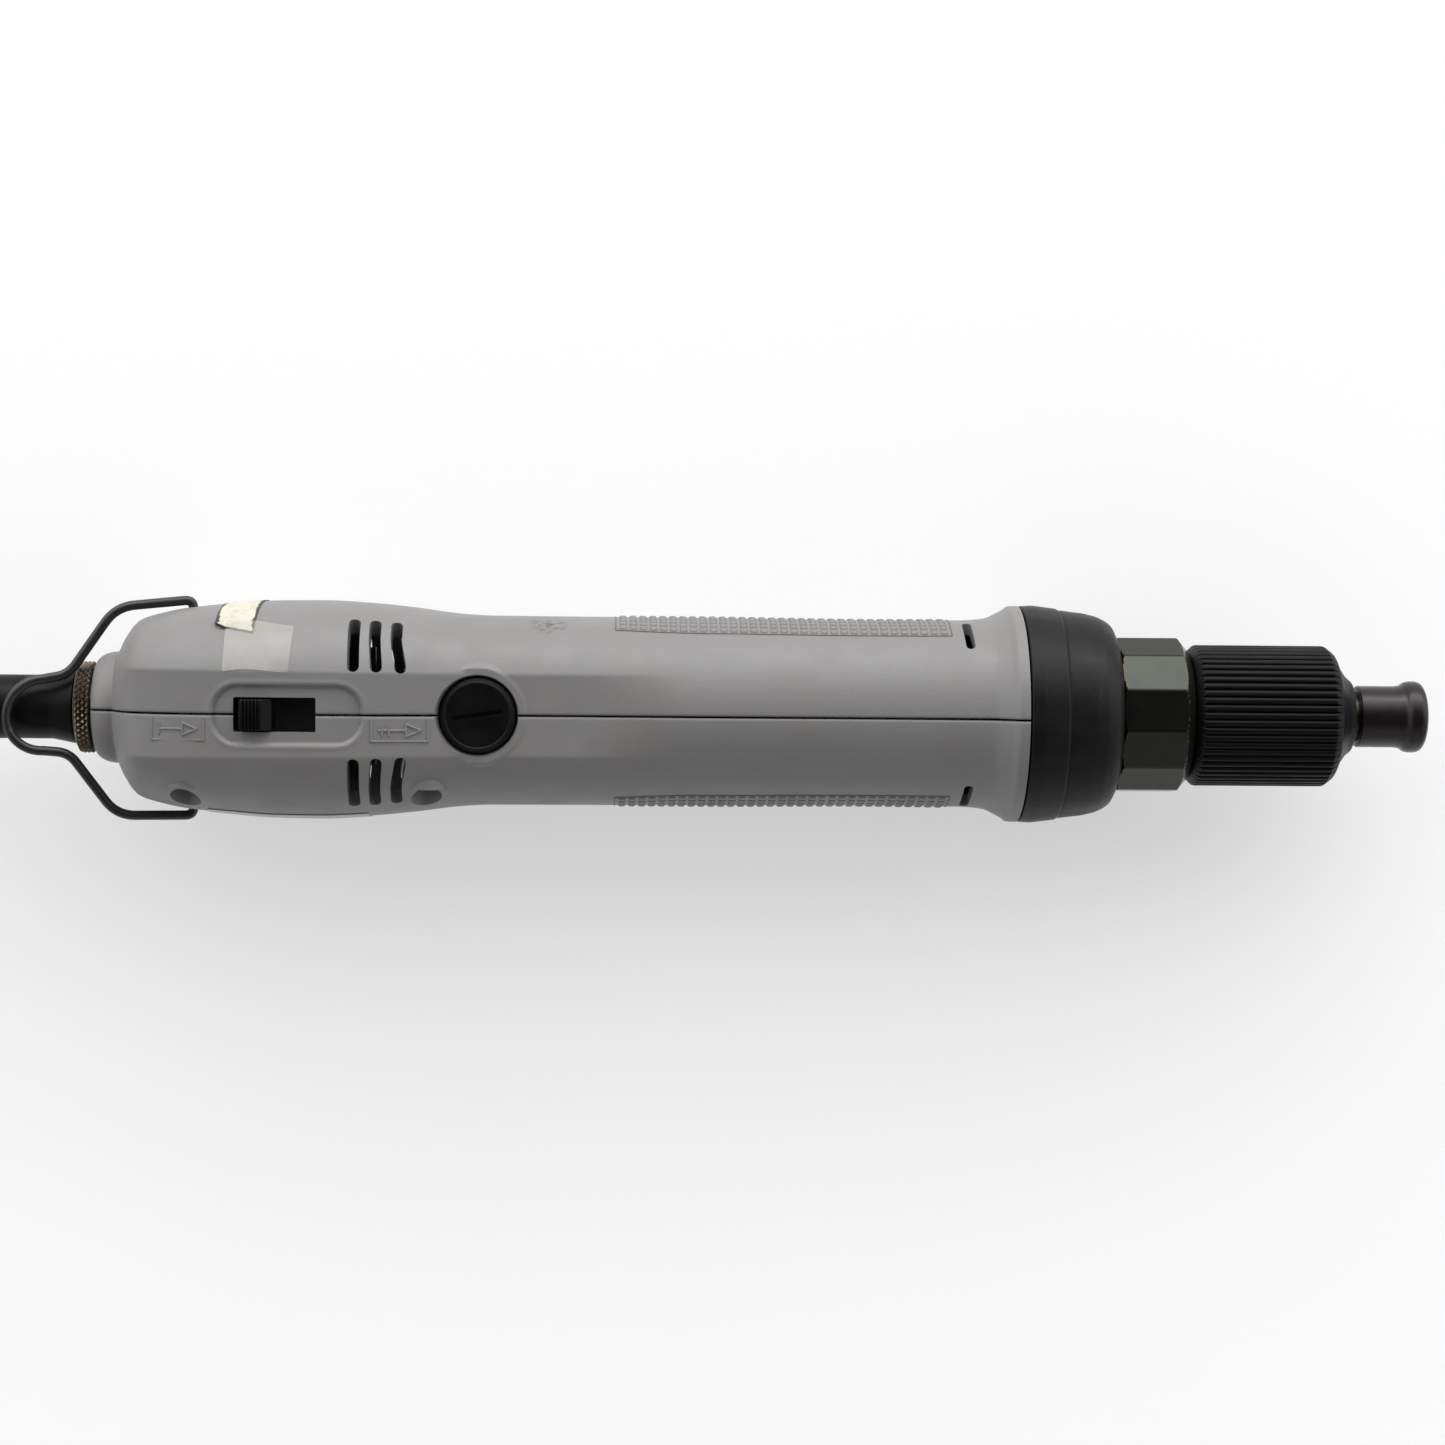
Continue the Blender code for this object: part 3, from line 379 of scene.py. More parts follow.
class Paint:
    """A node material in the making. Scales are features per metre, in the row frame's own space."""

    def __init__(self, name, colour, roughness, metallic=0.0):
        self.material = bpy.data.materials.new(name)
        self.material.use_nodes = True
        self.tree = self.material.node_tree
        self.shader = self.tree.nodes["Principled BSDF"]
        self.shader.inputs["Metallic"].default_value = metallic
        self.shader.inputs["Base Color"].default_value = (*colour, 1.0)
        self.shader.inputs["Roughness"].default_value = roughness
        self.space = self.tree.nodes.new("ShaderNodeTexCoord").outputs["Object"]
        self.colour = (*colour, 1.0)
        self.height = None

    def node(self, kind, inputs=(), **settings):
        made = self.tree.nodes.new(kind)
        for key, value in settings.items():
            setattr(made, key, value)
        for key, value in dict(inputs).items():
            if isinstance(value, bpy.types.NodeSocket):
                self.tree.links.new(value, made.inputs[key])
            else:
                made.inputs[key].default_value = value
        return made

    def stretched(self, scale):
        """The object's space scaled unevenly, so that noise in it runs in streaks."""
        return self.node("ShaderNodeMapping", {"Vector": self.space, "Scale": scale}).outputs["Vector"]

    def noise(self, scale, detail=3.0, roughness=0.55, space=None):
        made = self.node("ShaderNodeTexNoise", {"Vector": space or self.space, "Scale": scale,
                                                "Detail": detail, "Roughness": roughness})
        return made.outputs["Fac"]

    def spread(self, value, low, high, out_low=0.0, out_high=1.0):
        made = self.node("ShaderNodeMapRange", {"Value": value, "From Min": low, "From Max": high,
                                                "To Min": out_low, "To Max": out_high})
        return made.outputs["Result"]

    def times(self, first, second):
        return self.node("ShaderNodeMath", {0: first, 1: second}, operation="MULTIPLY").outputs[0]

    def tint(self, mask, colour):
        """Mix a colour over what is there, where mask is high."""
        inputs = {"Factor": mask, 6: self.colour, 7: (*colour, 1.0)}
        self.colour = self.node("ShaderNodeMix", inputs, data_type="RGBA").outputs[2]
        self.tree.links.new(self.colour, self.shader.inputs["Base Color"])

    def gloss(self, value, low, high):
        """Roughness from low to high as value goes from 0.3 to 0.7."""
        self.tree.links.new(self.spread(value, 0.3, 0.7, low, high), self.shader.inputs["Roughness"])

    def relief(self, value, depth):
        """Add bump of a depth in metres."""
        settings = {"Height": value, "Strength": 1.0, "Distance": depth}
        if self.height:
            settings["Normal"] = self.height
        self.height = self.node("ShaderNodeBump", settings).outputs["Normal"]
        self.tree.links.new(self.height, self.shader.inputs["Normal"])

    def near(self, place, reach):
        """A mask that is 1 at a place in metres and fades out at reach."""
        gap = self.node("ShaderNodeVectorMath", {0: self.space, 1: place}, operation="DISTANCE")
        return self.spread(gap.outputs["Value"], reach, reach * 0.35)

    def edges(self, full, none):
        """A mask from 1 to 0 between two values of pointiness: under 0.5 for hollows, over it for edges."""
        point = self.node("ShaderNodeNewGeometry").outputs["Pointiness"]
        return self.spread(point, none, full)


def grey_plastic():
    paint = Paint("grey_moulded_plastic", (0.188, 0.184, 0.182), 0.5)
    cloud = paint.noise(45.0, 4.0)
    paint.tint(paint.spread(cloud, 0.42, 0.72, 0.0, 0.5), (0.165, 0.158, 0.152))
    speck = paint.noise(1500.0, 2.0)
    paint.tint(paint.spread(speck, 0.66, 0.78, 0.0, 0.35), (0.12, 0.115, 0.11))
    # Painted shade: hollows and creases, where pointiness is low, are tinted darker.
    paint.tint(paint.times(paint.edges(0.44, 0.485), 0.45), (0.06, 0.055, 0.05))
    scuff = paint.noise(1100.0, 4.0, 0.7, paint.stretched((0.6, 1.4, 1.0)))
    worn = paint.times(paint.near(tool_point(82.4, 15.4, 7.6), 0.0042), paint.spread(scuff, 0.5, 0.56))
    paint.tint(worn, (0.075, 0.05, 0.036))
    # Painted shade: darker between the grip studs and at their feet, by a per-vertex value that is high
    # where the grip lies close to the housing.
    gap_shade = paint.node("ShaderNodeAttribute", attribute_name="gap_shade").outputs["Fac"]
    paint.tint(paint.times(gap_shade, 0.75), (0.05, 0.042, 0.036))
    paint.gloss(paint.noise(160.0, 3.0), 0.42, 0.58)
    paint.relief(paint.noise(2600.0, 2.0), 0.000035)
    paint.relief(paint.noise(90.0, 2.0), 0.00012)
    return paint.material


def cover_plastic():
    paint = Paint("black_reinforced_plastic", (0.0045, 0.0045, 0.0055), 0.42)
    streak = paint.noise(260.0, 4.0, 0.6, paint.stretched((0.18, 1.0, 1.0)))
    paint.tint(paint.spread(streak, 0.42, 0.75, 0.0, 0.7), (0.008, 0.008, 0.0098))
    scratch = paint.noise(900.0, 3.0, 0.7, paint.stretched((1.0, 0.12, 0.12)))
    paint.tint(paint.spread(scratch, 0.68, 0.75, 0.0, 0.6), (0.03, 0.03, 0.033))
    paint.gloss(streak, 0.34, 0.5)
    paint.shader.inputs["Specular IOR Level"].default_value = 0.19
    paint.relief(paint.noise(1800.0, 3.0), 0.00003)
    paint.relief(paint.noise(70.0, 2.0), 0.00025)
    return paint.material


def black_plastic():
    paint = Paint("black_plastic", (0.0032, 0.0032, 0.0036), 0.4)
    paint.tint(paint.spread(paint.noise(1200.0, 3.0), 0.66, 0.78, 0.0, 0.4), (0.009, 0.009, 0.0098))
    paint.gloss(paint.noise(220.0, 3.0), 0.34, 0.5)
    paint.shader.inputs["Specular IOR Level"].default_value = 0.13
    paint.relief(paint.noise(2400.0, 2.0), 0.00002)
    return paint.material


def dark_steel():
    paint = Paint("blackened_steel", (0.03, 0.0325, 0.028), 0.2, 0.85)
    lines = paint.noise(1600.0, 3.0, 0.6, paint.stretched((1.0, 0.08, 0.08)))
    paint.tint(paint.spread(paint.noise(120.0, 3.0), 0.4, 0.75, 0.0, 0.5), (0.026, 0.0285, 0.0245))
    paint.tint(paint.times(paint.edges(0.52, 0.505), 0.6), (0.05, 0.032, 0.022))
    paint.gloss(paint.noise(150.0, 3.0), 0.16, 0.24)
    paint.relief(lines, 0.000006)
    return paint.material


def brown_steel():
    paint = Paint("brown_oxide_steel", (0.0125, 0.0095, 0.0105), 0.3, 0.4)
    paint.tint(paint.spread(paint.noise(300.0, 4.0), 0.4, 0.7, 0.0, 0.7), (0.016, 0.0125, 0.013))
    paint.gloss(paint.noise(260.0, 3.0), 0.2, 0.34)
    paint.relief(paint.noise(1500.0, 3.0, 0.6, paint.stretched((1.0, 0.1, 0.1))), 0.00001)
    return paint.material


def black_wire():
    paint = Paint("black_enamelled_wire", (0.012, 0.012, 0.013), 0.34)
    paint.tint(paint.spread(paint.noise(400.0, 4.0), 0.62, 0.72, 0.0, 0.8), (0.045, 0.04, 0.036))
    paint.gloss(paint.noise(500.0, 3.0), 0.26, 0.42)
    paint.relief(paint.noise(1400.0, 2.0), 0.00002)
    return paint.material


def knurl_metal():
    paint = Paint("aged_knurled_brass", (0.16, 0.13, 0.1), 0.36, 0.9)
    paint.tint(paint.times(paint.edges(0.46, 0.5), 0.85), (0.016, 0.013, 0.011))
    paint.tint(paint.spread(paint.noise(700.0, 4.0), 0.5, 0.7, 0.0, 0.6), (0.07, 0.055, 0.045))
    paint.gloss(paint.noise(600.0, 3.0), 0.28, 0.48)
    return paint.material


def rubber():
    paint = Paint("black_rubber", (0.017, 0.017, 0.019), 0.55)
    paint.tint(paint.spread(paint.noise(500.0, 4.0), 0.5, 0.75, 0.0, 0.5), (0.032, 0.032, 0.034))
    paint.gloss(paint.noise(300.0, 3.0), 0.46, 0.64)
    paint.relief(paint.noise(2200.0, 3.0), 0.00003)
    return paint.material


def strap_weave():
    paint = Paint("woven_strap", (0.02, 0.02, 0.022), 0.8)
    weave = paint.node("ShaderNodeTexWave", {"Vector": paint.space, "Scale": 420.0, "Distortion": 1.5,
                                             "Detail": 1.0}, bands_direction="X").outputs["Fac"]
    across = paint.node("ShaderNodeTexWave", {"Vector": paint.space, "Scale": 420.0, "Distortion": 1.5,
                                              "Detail": 1.0}, bands_direction="Y").outputs["Fac"]
    paint.tint(paint.spread(weave, 0.2, 0.9, 0.0, 0.5), (0.045, 0.045, 0.05))
    paint.relief(weave, 0.00012)
    paint.relief(across, 0.00012)
    paint.shader.inputs["Sheen Weight"].default_value = 0.4
    return paint.material


def label_paper():
    paint = Paint("worn_label", (0.52, 0.5, 0.41), 0.55)
    grime = paint.noise(420.0, 5.0, 0.65)
    paint.tint(paint.spread(grime, 0.5, 0.72, 0.0, 0.65), (0.3, 0.27, 0.2))
    edge = paint.node("ShaderNodeAttribute", attribute_name="edge").outputs["Fac"]
    ragged = paint.node("ShaderNodeMath", {0: edge, 1: paint.spread(grime, 0.3, 0.7, -0.3, 0.3)},
                        operation="ADD").outputs[0]
    paint.tint(paint.spread(ragged, 0.45, 0.62), (0.03, 0.025, 0.022))
    paint.gloss(grime, 0.4, 0.62)
    paint.relief(grime, 0.00006)
    return paint.material


def clear_tape():
    paint = Paint("clear_tape", (0.62, 0.6, 0.56), 0.24)
    film = paint.noise(140.0, 4.0, 0.6)
    paint.tree.links.new(paint.spread(film, 0.3, 0.7, 0.12, 0.3), paint.shader.inputs["Alpha"])
    paint.gloss(film, 0.16, 0.34)
    paint.relief(paint.noise(220.0, 3.0), 0.00018)
    return paint.material


def plate_metal():
    paint = Paint("blank_nameplate", (0.38, 0.38, 0.37), 0.34, 0.8)
    brush = paint.noise(1400.0, 3.0, 0.6, paint.stretched((0.06, 1.0, 1.0)))
    paint.tint(paint.spread(brush, 0.4, 0.65, 0.0, 0.6), (0.28, 0.28, 0.27))
    paint.gloss(brush, 0.26, 0.42)
    paint.relief(brush, 0.00001)
    return paint.material


def plain_metal(name, colour, roughness, worn):
    """Machined metal for the inner parts."""
    paint = Paint(name, colour, roughness, 1.0)
    paint.tint(paint.spread(paint.noise(500.0, 4.0), 0.45, 0.7, 0.0, 0.7), worn)
    paint.gloss(paint.noise(700.0, 3.0), roughness - 0.08, roughness + 0.1)
    paint.relief(paint.noise(1500.0, 3.0, 0.6, paint.stretched((1.0, 0.1, 0.1))), 0.000012)
    return paint.material


def plain_solid(name, colour, roughness, marked):
    """A non-metal for the inner parts."""
    paint = Paint(name, colour, roughness)
    paint.tint(paint.spread(paint.noise(900.0, 4.0), 0.5, 0.7, 0.0, 0.7), marked)
    paint.gloss(paint.noise(500.0, 3.0), roughness - 0.08, roughness + 0.1)
    paint.relief(paint.noise(1800.0, 3.0), 0.00003)
    return paint.material


FINISHES = {
    "grey_plastic": grey_plastic(),
    "black_cover": cover_plastic(),
    "black_plastic": black_plastic(),
    "dark_steel": dark_steel(),
    "black_steel": black_wire(),
    "brown_steel": brown_steel(),
    "knurled_brass": knurl_metal(),
    "black_rubber": rubber(),
    "steel": plain_metal("machined_steel", (0.5, 0.5, 0.5), 0.3, (0.32, 0.31, 0.3)),
    "brass": plain_metal("brass", (0.6, 0.42, 0.16), 0.33, (0.4, 0.27, 0.1)),
    "copper": plain_metal("copper", (0.7, 0.3, 0.18), 0.35, (0.45, 0.17, 0.1)),
    "bronze": plain_metal("bronze", (0.42, 0.28, 0.14), 0.45, (0.3, 0.19, 0.09)),
    "magnet": plain_solid("magnet", (0.05, 0.05, 0.052), 0.6, (0.08, 0.075, 0.07)),
    "carbon": plain_solid("carbon", (0.02, 0.02, 0.02), 0.7, (0.04, 0.04, 0.04)),
    "board_green": plain_solid("circuit_board", (0.02, 0.16, 0.06), 0.45, (0.05, 0.22, 0.08)),
}


def paint_cad_nodes():
    """Every CAD node takes the finish of its record slot."""
    for material in frame["record"]["materials"]:
        for node in material.get("nodes", []):
            if node in frame["nodes"]:
                data = frame["nodes"][node].data
                data.materials.clear()
                data.materials.append(FINISHES[material["slot"]])


# ---------------------------------------------------------------- lead

def hank_route():
    """The turns of the hank: three on the outside going down, then three on the inside coming up."""
    front, rear = FOLD_CENTRES
    route = []
    for k, (radius, height) in enumerate(TURNS):
        last = TURNS[k - 1] if k else (radius, LEAD_ROUTE[-1][2])
        if k:
            for i in range(1, 8):
                angle = -math.pi / 2.0 + math.pi * i / 8.0
                share = ease(-(front + last[0] * math.cos(angle)), *SHIFTS[k]) if angle > 0.0 else 0.0
                across = last[0] + (radius - last[0]) * share
                route.append((front + across * math.cos(angle), across * math.sin(angle),
                              last[1] + (height - last[1]) * share))
        for station in range(-100 if k else -114, -184, -7):
            share = ease(-station, *SHIFTS[k])
            route.append((station, last[0] + (radius - last[0]) * share,
                          last[1] + (height - last[1]) * share))
        if k == len(TURNS) - 1:
            break
        for i in range(9):
            angle = math.pi / 2.0 + math.pi * i / 8.0
            route.append((rear + radius * math.cos(angle), radius * math.sin(angle), height))
        route += [(station, -radius, height) for station in (-165.0, -146.0, -127.0, -110.0)]
        route.append((front, -radius, height))
    return route


def far_plug_place():
    """The far plug lies on the hank, its nut's face towards the tool and a little raised."""
    lean = Matrix.Rotation(-FAR_PLUG_LEAN, 4, "Y")
    station, across, height = FAR_PLUG_FRONT
    spot = Matrix.Translation(((station - ORIGIN_STATION) * MM, across * MM, height * MM))
    return spot @ lean @ Matrix.Scale(MM, 4)


def tail_route():
    """The last fold climbs on to the hank and ends in the far plug."""
    rear = FOLD_CENTRES[1]
    radius, height = TURNS[-1]
    end = far_plug_place() @ Vector((-62.0, 0.0, 0.0)) / MM
    route = []
    for i in range(8):
        angle = math.pi / 2.0 + math.pi * i / 8.0
        share = ease(i, 3.0, 8.0)
        across = radius + (22.0 - radius) * share
        route.append((rear + across * math.cos(angle), across * math.sin(angle),
                      height + (end.z - 0.2 - height) * share))
    route.append((rear + 0.6, -22.0, end.z - 0.25))
    route.append((end.x + ORIGIN_STATION, end.y, end.z))
    return route


def make_lead():
    """The whole lead as one tube. Its points' heights are from the floor."""
    points = [Vector(((s - ORIGIN_STATION) * MM, y * MM, z * MM))
              for s, y, z in smooth_route(LEAD_ROUTE + hank_route() + tail_route(), 4)]
    lead = tube("lead_cord", FINISHES["black_rubber"], points, CABLE_RADIUS * MM, 7)
    dress(lead, "housing", "black_rubber", "cable_lead", "cable_hank", "cable_tail")
    return lead, points[0]


def knurled_ring(name, place, body, node):
    """A coupling nut with a diamond knurl between chamfered edges, and its bore."""
    sides = 264
    rings = []
    for i in range(25):
        station = -3.3 + 3.0 * i / 24.0
        edge = min(ease(station, -3.3, -2.75), 1.0 - ease(station, -0.62, -0.3))

        def radius_at(angle, station=station, edge=edge):
            first = abs(((angle * 44.0 / math.pi + station * 1.35) % 2.0) - 1.0)
            second = abs(((angle * 44.0 / math.pi - station * 1.35) % 2.0) - 1.0)
            return 7.35 + 0.42 * edge + 0.42 * edge * min(first, second) * 1.6
        rings.append(radial_ring(station, radius_at, sides))
    rings += [round_ring(station, 6.65, sides) for station in (-0.3, -3.3)]
    vertices, faces = skin(rings, cyclic=True)
    nut = piece(name, vertices, faces, FINISHES["knurled_brass"], place)
    return dress(nut, body, "knurled_brass", node)


def plug_shell(name, place, node):
    """The moulded plug: a plain barrel with a small flare and a shallow waist at the rear."""
    outer = soften([(-34.0, 0.05), (-34.0, 5.55), (-33.6, 5.83), (-30.6, 5.83), (-30.3, 5.5),
                    (-29.5, 5.5), (-29.2, 5.83), (-8.0, 5.83), (-4.6, 6.55), (-3.6, 6.7), (-3.6, 0.05)],
                   0.35)
    shell = turned(name, FINISHES["black_plastic"], outer, sides=80, place=place)
    return dress(shell, "housing", "black_plastic", node)


def strain_relief(name, place, node):
    """A tapered boot with ring grooves."""
    profile = [(-62.0, 2.8), (-62.0, 3.4), (-61.6, 3.6), (-60.0, 3.72)]
    for i in range(9):
        rear = -59.4 + i * 2.55
        crest = 3.8 + (rear + 60.0) * 0.062
        profile += [(rear, crest), (rear + 1.5, crest + 0.08), (rear + 1.62, crest - 0.75),
                    (rear + 2.35, crest - 0.72)]
    profile += [(-36.2, 5.2), (-34.3, 5.4), (-34.3, 2.8)]
    boot = turned(name, FINISHES["black_rubber"], soften(profile, 0.22), sides=64, place=place)
    return dress(boot, "housing", "black_rubber", node)


def rounded_loop(half_width, low, high, corner):
    """A rounded rectangle in y and height."""
    points = []
    corners = ((half_width, high, 0.0), (-half_width, high, 90.0),
               (-half_width, low, 180.0), (half_width, low, 270.0))
    for across, height, start in corners:
        centre_y = across - math.copysign(corner, across)
        centre_z = height - corner if height == high else height + corner
        for i in range(9):
            angle = math.radians(start + 90.0 * i / 8.0)
            points.append((centre_y + corner * math.cos(angle), centre_z + corner * math.sin(angle)))
    return points


def make_tie():
    """A woven strap round the hank."""
    rings = []
    for inset, grow in ((0.0, 0.0), (0.0, 0.55), (0.25, 0.75), (9.75, 0.75), (10.0, 0.55), (10.0, 0.0)):
        loop = rounded_loop(27.8 + grow, 0.8 - grow, 17.9 + grow, 4.2 + grow)
        rings.append([(TIE_STATION - 5.0 + inset, y, z - AXIS_HEIGHT) for y, z in loop])
    vertices, faces = skin(rings, cyclic=True)
    tie = piece("hank_strap", vertices, faces, strap_weave())
    return dress(tie, "housing", "black_rubber", "hank_tie")


def make_lead_and_plugs():
    far = far_plug_place()
    lead, start = make_lead()
    pieces = [plug_shell("plug_barrel", TOOL, "plug_shell"),
              strain_relief("plug_boot", TOOL, "strain_relief"),
              knurled_ring("knurled_coupling", TOOL, "plug_nut", "coupling_nut"),
              plug_shell("far_plug_barrel", far, "far_plug_shell"),
              strain_relief("far_plug_boot", far, "far_strain_relief"),
              knurled_ring("far_knurled_coupling", far, "housing", "far_coupling_nut"),
              make_tie()]


# ---------------------------------------------------------------- housing

HOUSING_RADIUS = monotone(HOUSING_OUTLINE)


def outer_radius(station):
    """Half the housing's width, with a rounded collar at the rear."""
    if station < COLLAR_LENGTH:
        share = 1.0 - station / COLLAR_LENGTH
        rear, front = COLLAR_RADII
        return rear + (front - rear) * math.sqrt(max(1.0 - share * share, 0.0))
    return HOUSING_RADIUS(station)


def strip_share(station):
    """How flat the strip along the top is, from 0 to 1."""
    return ease(station, 4.6, 9.0) * (1.0 - ease(station, STRIP_FULL, STRIP_END))


def strip_half(station):
    """Half the width of the flat strip."""
    along = min(max((station - 5.0) / (BRUSH_STATION - 5.0), 0.0), 1.0)
    return min(STRIP_HALF[0] + (STRIP_HALF[1] - STRIP_HALF[0]) * along, 0.6 * outer_radius(station))


def bulge(station):
    """The section's superellipse: its power, and its height against its width."""
    share = strip_share(station)
    return 2.0 + (BULGE_POWER - 2.0) * share, 1.0 + (BULGE_HEIGHT - 1.0) * share


def surface_height(station, across):
    """Height of the housing's top above the axis at a point, before the recess and the boss."""
    radius = outer_radius(station)
    power, tall = bulge(station)
    share = strip_share(station)
    strip = strip_half(station)
    curved = radius * tall * max(1.0 - (abs(across) / radius) ** power, 0.0) ** (1.0 / power)
    if abs(across) >= strip:
        return curved
    flat = radius * tall * (1.0 - (strip / radius) ** power) ** (1.0 / power)
    return flat * share + curved * (1.0 - share)


def recess_drop(station, across):
    """How far the switch recess sinks below the strip: a stadium with sloping sides and a raised rim."""
    rear, front, half, depth = RECESS
    corner = half - 0.6
    inside_x = max(rear + corner - station, station - (front - corner), 0.0)
    inside_y = max(abs(across) - (half - corner), 0.0)
    distance = math.hypot(inside_x, inside_y) - corner
    rim = ease(distance, -0.05, 0.15) * (1.0 - ease(distance, 0.35, 1.0))
    return depth * (1.0 - ease(distance, -0.5, 0.0)) - 0.1 * rim


def boss_height(station, across):
    """Top of the round boss at the brush cap, or a low number outside it."""
    distance = math.hypot(station - BRUSH_STATION, across)
    return BOSS_TOP + 0.12 - 1.1 * ease(distance, BOSS_RADIUS - 0.35, BOSS_RADIUS + 0.55)


def detail_height(station, across, base, top_side):
    """The surface height with the boss, and on the switch side with the recess."""
    height = base
    if math.hypot(station - BRUSH_STATION, across) < BOSS_RADIUS + 0.55:
        height = max(height, boss_height(station, across))
    if top_side and RECESS[0] - 1.5 < station < RECESS[1] + 1.5 and abs(across) < RECESS[2] + 1.5:
        height -= recess_drop(station, across)
    return height


def crown_samples():
    """Distances from the seam across the strip and its surroundings, close together near edges."""
    samples = [SEAM_HALF + 0.02, 0.27, 0.42, 0.6]
    value = 0.9
    while value < 10.6:
        samples.append(value)
        value += 0.3
    return samples


CROWN = crown_samples()
FLANK_STEPS = 30
INSIDE_POINTS = 25


def housing_ring(station, side):
    """A closed ring round one half's wall: along the outside from the top seam, then back inside."""
    radius = outer_radius(station)
    power, tall = bulge(station)
    scale = min(radius * 0.62 / CROWN[-1], 1.0)
    half = []
    for top in (True, False):
        row = []
        for i, y in enumerate(CROWN):
            across = y if y < 0.7 else 0.7 + (y - 0.7) * (CROWN[-1] * scale - 0.7) / (CROWN[-1] - 0.7)
            height = detail_height(station, across, surface_height(station, across), top)
            if i < len(SEAM_ROUNDING):
                height -= SEAM_ROUNDING[i]
            row.append((across, height if top else -height))
        groove = 1.1 if radius > 12.0 else 0.5 if radius > 9.0 else 0.3
        row.insert(0, (SEAM_HALF, row[0][1] - math.copysign(groove, row[0][1])))
        half.append(row)
    edge_y = half[0][-1][0]
    start = math.acos(min((edge_y / radius) ** (power / 2.0), 1.0))
    flank = []
    for i in range(1, FLANK_STEPS):
        angle = start * (1.0 - 2.0 * i / FLANK_STEPS)
        lift = math.copysign(abs(math.sin(angle)) ** (2.0 / power), angle)
        flank.append((radius * math.cos(angle) ** (2.0 / power), radius * tall * lift))
    outside = half[0] + flank + list(reversed(half[1]))
    inner = inner_radius(station)
    inside = []
    for i in range(INSIDE_POINTS):
        angle = math.pi * i / (INSIDE_POINTS - 1)
        inside.append((max(inner * math.sin(angle), SEAM_HALF), -inner * math.cos(angle)))
    return [(station, side * y, z) for y, z in outside + inside]


def inner_radius(station):
    """The cavity's radius: the plug's bore at the rear, then the wall's inside."""
    if station < 6.0:
        return BORE_REAR
    return BORE_REAR + (outer_radius(station) - WALL - BORE_REAR) * ease(station, 6.0, 6.6)


def station_list():
    """Where the housing's rings stand: close together along the recess, the boss and the ends."""
    stations = [0.0, 0.12, 0.3, 0.6, 1.0, 1.5, 2.1, 2.8, 3.5, 3.9, 4.05, 4.2, 4.4, 4.6, 4.9, 5.2, 5.6, 6.0,
                6.6]
    value = 7.0
    while value < HOUSING_FRONT - 0.3:
        stations.append(value)
        in_recess = RECESS[0] - 1.2 < value < RECESS[1] + 1.2
        on_boss = abs(value - BRUSH_STATION) < BOSS_RADIUS + 1.0
        value += 0.3 if in_recess or on_boss else 0.35 if value > 165.5 else 0.9
    return stations + [HOUSING_FRONT - 0.15, HOUSING_FRONT]


def end_faces(outside_count, ring_index, ring_size):
    """Quads that close the wall at the end of one half: the seam rows and the ring between them."""
    start = ring_index * ring_size
    outside = [start + i for i in range(outside_count)]
    inside = [start + ring_size - 1 - i for i in range(ring_size - outside_count)]
    faces = []
    steps = len(inside) - 1
    for i in range(outside_count - 1):
        a = inside[round(i * steps / (outside_count - 1))]
        b = inside[round((i + 1) * steps / (outside_count - 1))]
        if a == b:
            faces.append((outside[i], outside[i + 1], a))
        else:
            faces.append((outside[i], outside[i + 1], b, a))
    return faces


def slot_cutter(centre, half, angles, low, high, lean, side, face):
    """A closed cutter for a slot: an outline in station and angle, swept from radius low to high."""
    steps = 14
    start, end = (math.radians(a) for a in angles)
    cap = 2.0 * half / (low + high)
    outline = []
    for i in range(steps + 1):
        angle = start + cap + (end - start - 2.0 * cap) * i / steps
        outline.append((half, angle))
    for i in range(1, 6):
        turn = math.pi * i / 6.0
        outline.append((half * math.cos(turn), end - cap + cap * math.sin(turn)))
    for i in range(steps + 1):
        angle = end - cap - (end - start - 2.0 * cap) * i / steps
        outline.append((-half, angle))
    for i in range(1, 6):
        turn = math.pi * i / 6.0
        outline.append((-half * math.cos(turn), start + cap - cap * math.sin(turn)))
    rings = []
    for radius, grow in ((low, 0.9), (high - 6.0, 1.0), (high, 1.25)):
        ring = []
        for offset, angle in outline:
            forward = lean * (1.0 - ease(angle, start, start + 0.65 * (end - start)))
            station = centre + offset * grow + forward
            z = radius * math.cos(angle) * face
            ring.append((station, side * radius * math.sin(angle), z))
        rings.append(ring)
    vertices, faces = skin(rings, caps=True)
    return piece("slot_cutter", vertices, faces, None, HERE)


def vertical(station, turn=0.0, flip=False):
    """Place a turned helper with its axis up from the tool's axis, or down when flipped."""
    aim = Matrix.Rotation(-math.pi / 2.0 if not flip else math.pi / 2.0, 4, "Y")
    return Matrix.Translation((station, 0.0, 0.0)) @ Matrix.Rotation(turn, 4, "Z") @ aim


def sideways(station, height):
    """Place a turned helper with its axis pointing to -Y."""
    return Matrix.Translation((station, 0.0, height)) @ Matrix.Rotation(-math.pi / 2.0, 4, "Z")


def side_cylinder(name, radius, low, high, spot, sides, flare=0.0):
    """A helper that points to -Y at a (station, height), its end wider by flare."""
    profile = [(low, 0.02), (low, radius), (high - 9.0, radius), (high, radius + flare), (high, 0.02)]
    return turned(name, None, profile, sides=sides, place=sideways(*spot))


